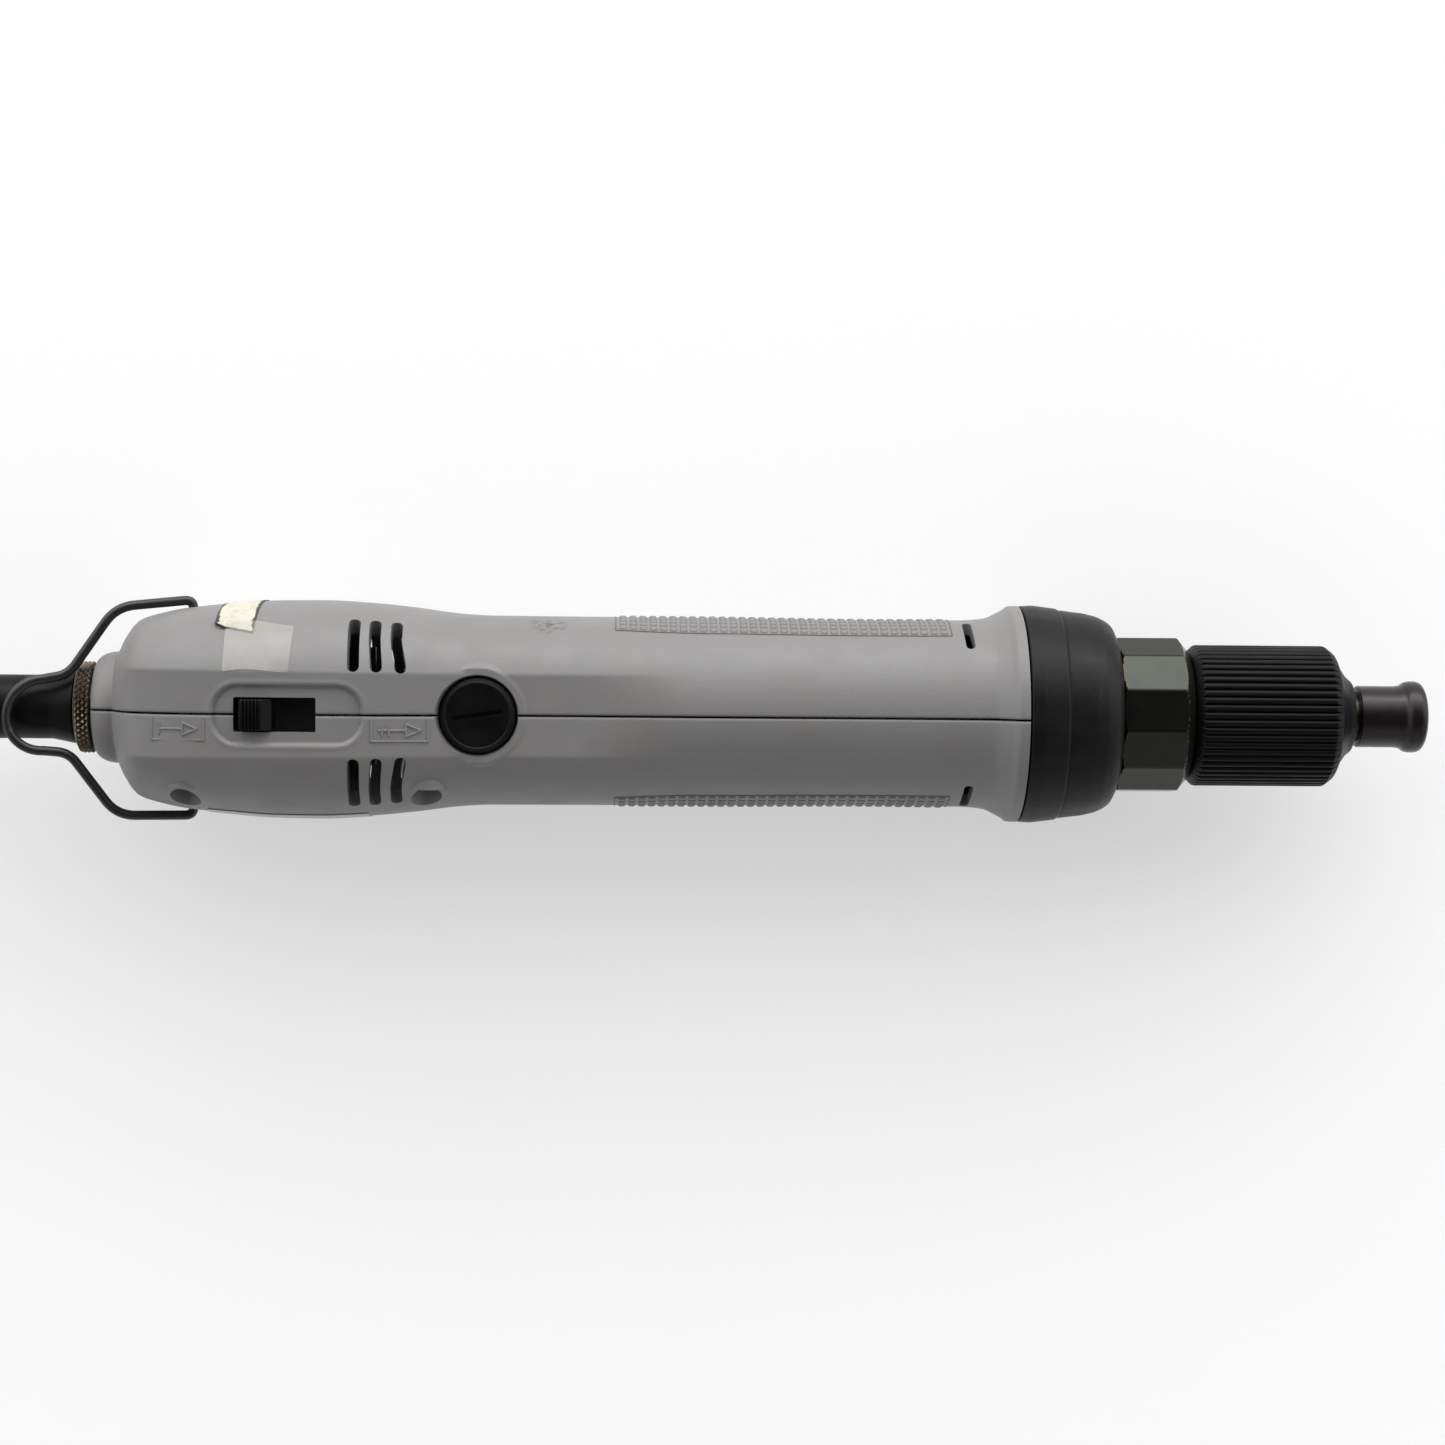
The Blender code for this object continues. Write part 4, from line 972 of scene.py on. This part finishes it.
def make_half(name, side, node):
    """One half of the housing, cut for its vents, slots, caps and switch, and at -Y for its screws."""
    stations = station_list()
    rings = [housing_ring(s, side) for s in stations]
    ring_size = len(rings[0])
    outside_count = ring_size - INSIDE_POINTS
    vertices, faces = skin(rings)
    for ring_index in (0, len(rings) - 1):
        faces += end_faces(outside_count, ring_index, ring_size)
    half = piece(name, vertices, faces, FINISHES["grey_plastic"], HERE)
    if side < 0.0:
        bosses = [side_cylinder("screw_boss", COUNTERBORE + 1.25, 8.6, 13.5, place, 32) for place in SCREWS]
        cut(half, join_meshes("bosses", bosses), "UNION")
    cutters = []
    for face in (1.0, -1.0):
        for station, lean in VENTS:
            cutters.append(slot_cutter(station, VENT_HALF, VENT_ANGLES, 14.0, 24.0, lean, side, face))
        cutters.append(slot_cutter(SLOT_STATION, SLOT_HALF, SLOT_ANGLES, 12.0, 22.0, 0.15, side, face))
    for flip in (False, True):
        profile = [(11.0, 0.02), (11.0, CAP_HOLE), (16.7, CAP_HOLE), (24.0, CAP_HOLE + 3.0), (24.0, 0.02)]
        place = vertical(BRUSH_STATION, 0.02, flip)
        cutters.append(turned("cap_hole", None, profile, sides=90, place=place))
    if side < 0.0:
        cutters += [side_cylinder("counterbore", COUNTERBORE, 9.0, 26.0, place, 48, 0.1) for place in SCREWS]
    cut(half, join_meshes("cutters", cutters))
    rear, front, across = SWITCH
    cut(half, block("switch_opening", (rear, -across, 12.0), (front, across, 30.0), bevel=0.35))
    return dress(settle(half), "housing", "grey_plastic", node)


def make_housing():
    make_half("handle_half_left", 1.0, "housing_half_left")
    make_half("handle_half_right", -1.0, "housing_half_right")


# ---------------------------------------------------------------- what sits on the housing

def wrapped(station, angle, lift):
    """A point on the housing at an angle in radians from +Z towards +Y, lifted off it."""
    radius = outer_radius(station)
    power, tall = bulge(station)
    shape = abs(math.sin(angle)) ** power + (abs(math.cos(angle)) / tall) ** power
    reach = radius / shape ** (1.0 / power)
    across = reach * math.sin(angle)
    if abs(across) < strip_half(station):
        reach = math.hypot(across, surface_height(station, across))
    reach += lift
    return (station, reach * math.sin(angle), reach * math.cos(angle))


def sheet_on_housing(name, material, spot, columns, rows, thickness):
    """A thin closed sheet; spot(u, v) gives its station, angle and lift. Edge holds nearness to the rim."""
    top, bottom, edge = [], [], []
    for j in range(rows + 1):
        for i in range(columns + 1):
            u, v = i / columns, j / rows
            station, angle, lift = spot(u, v)
            top.append(wrapped(station, angle, lift + thickness))
            bottom.append(wrapped(station, angle, lift - 0.02))
            edge.append(1.0 - min(min(u, 1.0 - u) * 7.0, min(v, 1.0 - v) * 22.0, 1.0))
    stride = columns + 1
    count = len(top)
    faces = []
    for j in range(rows):
        for i in range(columns):
            a = j * stride + i
            faces.append((a, a + 1, a + stride + 1, a + stride))
            faces.append((count + a, count + a + stride, count + a + stride + 1, count + a + 1))
    rim = list(range(stride))
    rim += [j * stride + columns for j in range(1, rows + 1)]
    rim += [rows * stride + i for i in reversed(range(columns))]
    rim += [j * stride for j in reversed(range(1, rows))]
    for a, b in zip(rim, rim[1:] + rim[:1]):
        faces.append((a, b, count + b, count + a))
    sheet = piece(name, top + bottom, faces, material, sharp=50.0)
    sheet.data.attributes.new("edge", "FLOAT", "POINT").data.foreach_set("value", edge + edge)
    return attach(sheet, "housing")


def label_spot(u, v):
    """A strip label that runs round the side, its near corner lifted."""
    station = LABEL_REAR + LABEL_LENGTH * u + 0.9 * v + (0.9 * (1.0 - u) if v < 0.02 else 0.0)
    start = 45.0 - 2.5 * u + 3.0 * (1.0 - u)
    angle = math.radians(start + (112.0 - start) * v)
    curl = max(0.0, 1.0 - (u * 2.4 + v * 6.0))
    return station, angle, 0.05 + 0.75 * curl * curl


def tape_spot(u, v):
    """A crooked patch of tape between the strip and the label."""
    station = TAPE_REAR + TAPE_LENGTH * u + 0.5 * v - 0.6 * v * (1.0 - u)
    angle = math.radians(21.5 + (32.0 - 6.0 * u) * v + 0.8 * math.sin(u * 5.0))
    return station, angle, 0.16


def plate_spot(u, v):
    """A blank plate on the side away from the label."""
    return PLATE_REAR + PLATE_LENGTH * u, -math.radians(66.0 + 48.0 * v), 0.03


def make_grip(name, side):
    """Rows of small rounded studs inside a thin frame, moulded into the side of the handle."""
    vertices, faces = [], []
    for column in range(STUD_COLUMNS):
        for row in range(STUD_ROWS):
            angle = math.pi / 2.0 + STUD_SPREAD * ((row + 0.5) / STUD_ROWS - 0.5)
            add_stud(vertices, faces, STUD_FIRST + STUD_PITCH * column, angle, side)
    for angle in (GRIP_TOP, GRIP_BOTTOM):
        add_rib(vertices, faces, (GRIP_REAR, GRIP_FRONT), (angle, angle), side)
    for station in (GRIP_REAR, GRIP_FRONT):
        add_rib(vertices, faces, (station, station), (GRIP_TOP, GRIP_BOTTOM), side)
    grip = piece(name, vertices, faces, FINISHES["grey_plastic"], HERE, sharp=60.0)
    # Painted shade: each vertex gets 1 where it lies close to the housing's surface and 0 on the stud
    # crowns, to darken the gaps.
    gap_shade = []
    for vertex in grip.data.vertices:
        angle = math.atan2(abs(vertex.co.y), vertex.co.z)
        lift = math.hypot(vertex.co.y, vertex.co.z) - math.hypot(*wrapped(vertex.co.x, angle, 0.0)[1:])
        gap_shade.append(1.0 - ease(lift, 0.03, 0.27))
    grip.data.attributes.new("gap_shade", "FLOAT", "POINT").data.foreach_set("value", gap_shade)
    return dress(settle(grip), "housing", "grey_plastic")


def add_stud(vertices, faces, station, angle, side):
    """A pillow-shaped stud of 6 by 6 cells."""
    first = len(vertices)
    steps = 6
    for i in range(steps + 1):
        for j in range(steps + 1):
            u, v = 2.0 * i / steps - 1.0, 2.0 * j / steps - 1.0
            crown = max(0.0, 1.0 - u ** 4) * max(0.0, 1.0 - v ** 4)
            lift = -0.12 + 0.4 * crown
            _, y, z = wrapped(station, angle + STUD_HALF_ANGLE * v, lift)
            vertices.append((station + STUD_HALF * u, side * y, z))
    for i in range(steps):
        for j in range(steps):
            a = first + i * (steps + 1) + j
            faces.append((a, a + 1, a + steps + 2, a + steps + 1))


def add_rib(vertices, faces, stations, angles, side):
    """A thin raised line between two points of the housing's side."""
    steps = 24
    first = len(vertices)
    along = stations[0] != stations[1]
    for i in range(steps + 1):
        t = i / steps
        station = stations[0] + (stations[1] - stations[0]) * t
        angle = math.radians(angles[0] + (angles[1] - angles[0]) * t)
        for offset, lift in ((-0.16, -0.1), (-0.07, 0.12), (0.07, 0.12), (0.16, -0.1)):
            if along:
                s, a = station, angle + offset / 17.3
            else:
                s, a = station + offset, angle
            _, y, z = wrapped(s, a, lift)
            vertices.append((s, side * y, z))
    for i in range(steps):
        for j in range(3):
            a = first + i * 4 + j
            faces.append((a, a + 1, a + 5, a + 4))


def raised_line(vertices, faces, points):
    """A thin ridge along (station, across) points on the flat strip, with sloping sides."""
    half = 0.13
    for (s1, y1), (s2, y2) in zip(points, points[1:]):
        direction = Vector((s2 - s1, y2 - y1)).normalized()
        normal = Vector((-direction.y, direction.x))
        first = len(vertices)
        for s, y, push in ((s1, y1, -0.5 * half), (s2, y2, 0.5 * half)):
            s += direction.x * push
            y += direction.y * push
            base = surface_height(s, abs(y))
            for width, lift in ((-1.9, -0.03), (-0.8, 0.2), (0.8, 0.2), (1.9, -0.03)):
                vertices.append((s + normal.x * half * width, y + normal.y * half * width, base + lift))
        for j in range(3):
            faces.append((first + j, first + j + 1, first + j + 5, first + j + 4))
        faces.append((first, first + 1, first + 2, first + 3))
        faces.append((first + 4, first + 5, first + 6, first + 7))


def make_marks():
    """Two framed arrows for the directions of turning, beside the switch."""
    vertices, faces = [], []
    near, far = -0.7, -4.6
    middle = (near + far) / 2.0
    for rear, front in ((12.4, 21.7), (51.3, 61.2)):
        tip = front - 1.2
        base = tip - 2.6
        raised_line(vertices, faces, [(rear, near), (rear, far), (front, far), (front, near)])
        raised_line(vertices, faces, [(base, middle + 1.1), (tip, middle), (base, middle - 1.1),
                                      (base, middle + 1.1)])
        raised_line(vertices, faces, [(rear + 1.3, middle), (base, middle)])
    for station in (13.7, 53.2, 54.4):
        raised_line(vertices, faces, [(station, -1.7), (station, -3.6)])
    marks = piece("direction_marks", vertices, faces, FINISHES["grey_plastic"], sharp=20.0)
    return dress(marks, "housing", "grey_plastic")


def make_slider():
    """The direction knob: a ribbed block with a slanted front."""
    rear, front, foot, top = 28.1, 33.8, 14.7, 20.8
    profile = soften([(rear, foot), (rear, 20.55), (28.35, top), (31.9, top), (32.3, 20.55), (front, 19.4),
                      (front, foot)], 0.25, 3)
    rings = []
    for across, inset in ((-2.75, 0.25), (-2.6, 0.06), (-2.45, 0.0), (2.45, 0.0), (2.6, 0.06), (2.75, 0.25)):
        ring = []
        for station, height in profile:
            along = min(max(station, rear + inset), front - inset)
            ring.append((along, across, min(height, top - inset)))
        rings.append(ring)
    vertices, faces = skin(rings, caps=True)
    knob = piece("direction_knob", vertices, faces, FINISHES["black_plastic"], HERE)
    grooves = []
    for i in range(5):
        start = 28.8 + i * 0.62
        grooves.append(block("groove", (start, -4.0, 20.45), (start + 0.25, 4.0, 22.0)))
    cut(knob, join_meshes("grooves", grooves))
    return dress(settle(knob), "slider", "black_plastic", "direction_slider")


def make_caps():
    """Brush caps: a bevelled rim round a sunken disc with a coin slot."""
    outer = soften([(12.6, 0.05), (12.6, CAP_RADIUS), (17.2, CAP_RADIUS), (18.05, 6.05), (18.15, 5.85),
                    (17.95, 5.65), (17.95, 0.05)], 0.18)
    inner = [(10.0, 0.02), (10.0, 5.2), (16.6, 5.2), (16.6, 0.02)]
    for name, flip in (("top", False), ("bottom", True)):
        place = vertical(BRUSH_STATION, CAP_TURN, flip)
        cap = turned(f"brush_cap_cover_{name}", FINISHES["black_plastic"], outer, sides=128, place=place)
        cut(cap, turned("hollow", None, inner, sides=60, place=vertical(BRUSH_STATION, 0.05, flip)))
        cut(cap, block("slot", (17.25, -0.6, -4.6), (20.0, 0.6, 4.6), place, bevel=0.2))
        dress(settle(cap), "housing", "black_plastic", f"brush_cap_{name}")


def make_screw_heads():
    """Pan-head screws with a cross recess, at the bottom of the counterbores."""
    outer = soften([(-8.2, 0.05), (-8.2, 0.9), (-7.6, 1.2), (9.3, 1.2), (9.3, 2.4), (10.6, 2.4),
                    (11.25, 1.6), (11.4, 0.05)], 0.2)
    for i, spot in enumerate(SCREWS, start=1):
        place = sideways(*spot)
        screw = turned(f"pan_screw_{i}", FINISHES["steel"], outer, sides=48, place=place)
        for across, up in ((1.45, 0.3), (0.3, 1.45)):
            cut(screw, block("cross", (10.5, -across, -up), (13.0, across, up), place, bevel=0.08))
        dress(settle(screw), "housing", "steel", f"housing_screw_{i}")


def make_bail():
    """The hanging loop of bent wire, in its own plane and tilted up behind the tool."""
    centre, bend = BAIL_BEND
    legs = [(0.0, 15.2), (0.0, 19.75), (13.9, 19.0), (22.4, 7.1), (centre, bend)]
    left = soften(legs, (1.6, 3.4, 3.0), 8, 0.48)[:-1]
    arc = []
    for i in range(25):
        angle = math.pi / 2.0 - math.pi * i / 24.0
        arc.append((centre + bend * math.cos(angle), bend * math.sin(angle)))
    right = [(behind, -across) for behind, across in reversed(left)]
    points = []
    for behind, across in left + arc + right:
        station = BAIL_PIVOT - behind * math.cos(BAIL_TILT)
        points.append(tool_point(station, across - BAIL_SKEW * behind / BAIL_REACH,
                                 behind * math.sin(BAIL_TILT)))
    bail = tube("hanging_wire", FINISHES["black_steel"], points, BAIL_WIRE * MM, 6)
    return dress(bail, "bail", "black_steel", "hanging_bail")


# ---------------------------------------------------------------- front end

def make_front_cover():
    """The gear case's cover: a shallow groove round it and a rounded shoulder towards the flats."""
    outer = soften([(163.9, 15.5), (168.9, 15.5), (168.9, 19.75), (169.15, 19.98), (171.3, 20.1),
                    (175.7, 19.55), (175.95, 19.3), (176.15, 19.1), (176.4, 19.25), (180.7, 18.75),
                    (183.1, 18.2), (184.6, 17.5), (185.6, 16.8), (186.2, 15.6), (186.4, 14.9)], 0.45)
    bore = [(163.9, 13.9), (169.8, 13.9), (169.8, 15.8), (174.2, 15.8), (174.2, 13.0), (186.4, 13.0)]
    cover = turned("gear_case_cover", FINISHES["black_cover"], outer, bore, 128, sharp=40.0)
    return dress(cover, "housing", "black_cover", "front_cover")


def polygon_radius(angle, sides, corner, blunt):
    """Radius of a regular polygon at an angle from a corner, but never more than blunt times its corner."""
    half = math.pi / sides
    flat = corner * math.cos(half) / math.cos(angle % (2.0 * half) - half)
    return min(flat, corner * blunt)


def make_clutch_housing():
    """The wrench flats with chamfered corners, their neck and the thread that the nut runs on."""
    sides = 480
    stations = [FLATS_REAR, 186.9, 187.1, 187.3] + [188.0 + i for i in range(8)]
    stations += [195.6 + i * 0.14 for i in range(31)]
    rings = []
    for station, radius in ((156.0, 13.4), (170.2, 13.4), (170.2, 15.4), (173.8, 15.4), (173.8, 12.6),
                            (FLATS_REAR, 12.6)):
        rings.append(round_ring(station, radius, sides))
    for station in stations:
        front = FLATS_RADIUS - max(0.0, station - FLATS_FRONT) * 1.2
        rear = 14.1 + (station - FLATS_REAR) * 1.2

        def radius_at(angle, chamfer=min(front, rear)):
            return min(polygon_radius(angle + FLATS_CORNER, FLATS, FLATS_RADIUS, 0.997), chamfer)
        rings.append(radial_ring(station, radius_at, sides))
    profile = [(199.85, 11.3), (199.9, 11.1), (200.0, 10.05), (200.6, 9.98)]
    for i in range(int((THREAD_FRONT - 200.6) / THREAD_PITCH)):
        start = 200.7 + i * THREAD_PITCH
        profile += [(start, 9.98), (start + 0.16, 9.62), (start + 0.26, 9.62), (start + 0.42, 9.98)]
    profile += [(THREAD_FRONT, 9.6), (THREAD_FRONT, 9.2), (176.0, 9.2), (176.0, 10.4), (156.0, 10.4)]
    rings += [round_ring(station, radius, sides) for station, radius in profile]
    vertices, faces = skin(rings, cyclic=True)
    housing = piece("flatted_clutch_case", vertices, faces, FINISHES["dark_steel"], sharp=22.0)
    return dress(housing, "housing", "dark_steel", "clutch_housing")


def make_torque_nut():
    """The fluted adjusting nut: rounded ridges that run out at both chamfers, and a smooth nose."""
    sides = FLUTES * 12
    profile = soften([(NUT_REAR, 11.5), (201.75, NUT_RADIUS), (225.7, NUT_RADIUS), (227.2, 11.9),
                      (228.2, 9.7), (228.9, 8.75), (229.6, 7.7), (NUT_FRONT, 6.7)], 0.3, 3)
    dense = []
    for (s1, r1), (s2, r2) in zip(profile, profile[1:]):
        steps = max(1, int((s2 - s1) / 0.35)) if s2 - s1 < 8.0 else 12
        dense += [(s1 + (s2 - s1) * i / steps, r1 + (r2 - r1) * i / steps) for i in range(steps)]
    dense.append(profile[-1])
    rings = []
    for station, radius in dense:
        def radius_at(angle, radius=radius):
            phase = (angle * FLUTES / (2.0 * math.pi)) % 1.0
            ridge = math.sqrt(max(0.0, 1.0 - (abs(phase - 0.5) * 2.0) ** 2.6))
            return min(radius, NUT_RADIUS + FLUTE_DEPTH * (ridge - 1.0))
        rings.append(radial_ring(station, radius_at, sides))
    bore = [(NUT_FRONT, 6.05), (217.0, 6.05), (217.0, 10.4), (200.7, 10.4), (NUT_REAR, 11.0)]
    rings += [round_ring(station, radius, sides) for station, radius in bore]
    vertices, faces = skin(rings, cyclic=True)
    nut = piece("fluted_torque_nut", vertices, faces, FINISHES["black_plastic"], sharp=50.0)
    return dress(nut, "nut", "black_plastic", "torque_nut")


def make_spindle():
    """The driving spindle with its hexagonal bit socket."""
    sides = 96
    corner = BIT_SIZE / 2.0 / math.cos(math.pi / 6.0)
    outer = soften([(161.6, 0.05), (161.6, 3.4), (200.0, 3.4), (200.0, 4.5), (232.5, 4.5), (232.5, 4.15),
                    (242.6, 4.15), (243.0, 3.85)], 0.15)
    rings = [round_ring(station, radius, sides) for station, radius in outer]
    for station in (242.7, 222.0):
        rings.append(radial_ring(station, lambda angle: polygon_radius(angle, 6, corner, 0.99), sides))
    rings.append(round_ring(222.0, 0.05, sides))
    vertices, faces = skin(rings, caps=True)
    spindle = piece("socket_spindle", vertices, faces, FINISHES["dark_steel"], sharp=30.0)
    return dress(spindle, "spindle", "dark_steel", "spindle")


def make_bit_sleeve():
    """The quick-change sleeve with a rolled rim at its front."""
    outer = soften([(232.2, 5.5), (232.4, 5.7), (239.4, 5.7), (240.5, 5.9), (241.1, 6.4), (241.8, 6.62),
                    (243.2, 6.65), (244.0, 6.35), (244.4, 5.75)], 0.5, 5)
    bore = [(232.2, 4.6), (235.0, 4.6), (235.0, 5.25), (242.9, 5.25), (243.35, 4.4), (244.2, 4.55),
            (244.4, 4.9)]
    sleeve = turned("rolled_bit_sleeve", FINISHES["brown_steel"], outer, bore, 112)
    return dress(sleeve, "sleeve", "brown_steel", "bit_sleeve")


# ---------------------------------------------------------------- stage

def make_floor():
    """A pale light table."""
    half = 3.0
    mesh = bpy.data.meshes.new("floor")
    corners = [(-half, -half, 0.0), (half, -half, 0.0), (half, half, 0.0), (-half, half, 0.0)]
    mesh.from_pydata(corners, [], [(0, 1, 2, 3)])
    paint = Paint("pale_light_table", (0.6, 0.6, 0.6), 0.85)
    paint.tint(paint.spread(paint.noise(14.0, 3.0), 0.3, 0.7, 0.0, 0.2), (0.58, 0.58, 0.58))
    paint.shader.inputs["Specular IOR Level"].default_value = 0.1
    paint.shader.inputs["Emission Color"].default_value = (1.0, 1.0, 1.0, 1.0)
    paint.shader.inputs["Emission Strength"].default_value = 0.44
    add_object("floor", mesh, paint.material)


def soft_box(name, spot, size, power):
    """A rectangular light that faces the tool."""
    data = bpy.data.lights.new(name, "AREA")
    data.shape = "RECTANGLE"
    data.size, data.size_y = size
    data.energy = power
    light = add_object(name, data)
    light.location = spot
    light.rotation_euler = (Vector(spot) - Vector((0.0, 0.0, 0.02))).to_track_quat("Z", "Y").to_euler()


def make_light():
    """A room bright towards +Y and dark overhead, where the camera stands, and one low soft key."""
    soft_box("key", (0.05, 1.2, 0.42), (1.8, 0.4), 6.0)
    world = bpy.data.worlds.new("studio")
    bpy.context.scene.world = world
    world.use_nodes = True
    nodes, links = world.node_tree.nodes, world.node_tree.links
    parts = nodes.new("ShaderNodeSeparateXYZ")
    links.new(nodes.new("ShaderNodeTexCoord").outputs["Generated"], parts.inputs[0])
    strength = nodes.new("ShaderNodeMath")
    strength.operation = "MULTIPLY"
    ramps = (("Y", -0.5, 1.0, 0.56, 2.8), ("Z", 0.55, 0.95, 1.0, 0.03))
    for i, (axis, low, high, at_low, at_high) in enumerate(ramps):
        ramp = nodes.new("ShaderNodeMapRange")
        ramp.interpolation_type = "SMOOTHSTEP"
        limits = {"From Min": low, "From Max": high, "To Min": at_low, "To Max": at_high}
        for key, value in limits.items():
            ramp.inputs[key].default_value = value
        links.new(parts.outputs[axis], ramp.inputs["Value"])
        links.new(ramp.outputs["Result"], strength.inputs[i])
    nodes["Background"].inputs["Color"].default_value = (1.0, 1.0, 1.0, 1.0)
    links.new(strength.outputs[0], nodes["Background"].inputs["Strength"])
    bpy.context.scene.view_settings.view_transform = "Standard"


# ---------------------------------------------------------------- whole scene


make_camera()
paint_cad_nodes()
make_lead_and_plugs()
make_housing()
sheet_on_housing("strip_label", label_paper(), label_spot, 24, 60, 0.1)
sheet_on_housing("tape_patch", clear_tape(), tape_spot, 24, 24, 0.05)
sheet_on_housing("blank_plate", plate_metal(), plate_spot, 30, 24, 0.14)
make_grip("grip_studs_left", 1.0)
make_grip("grip_studs_right", -1.0)
make_marks()
make_slider()
make_caps()
make_screw_heads()
make_bail()
make_front_cover()
make_clutch_housing()
make_torque_nut()
make_spindle()
make_bit_sleeve()
make_floor()
make_light()
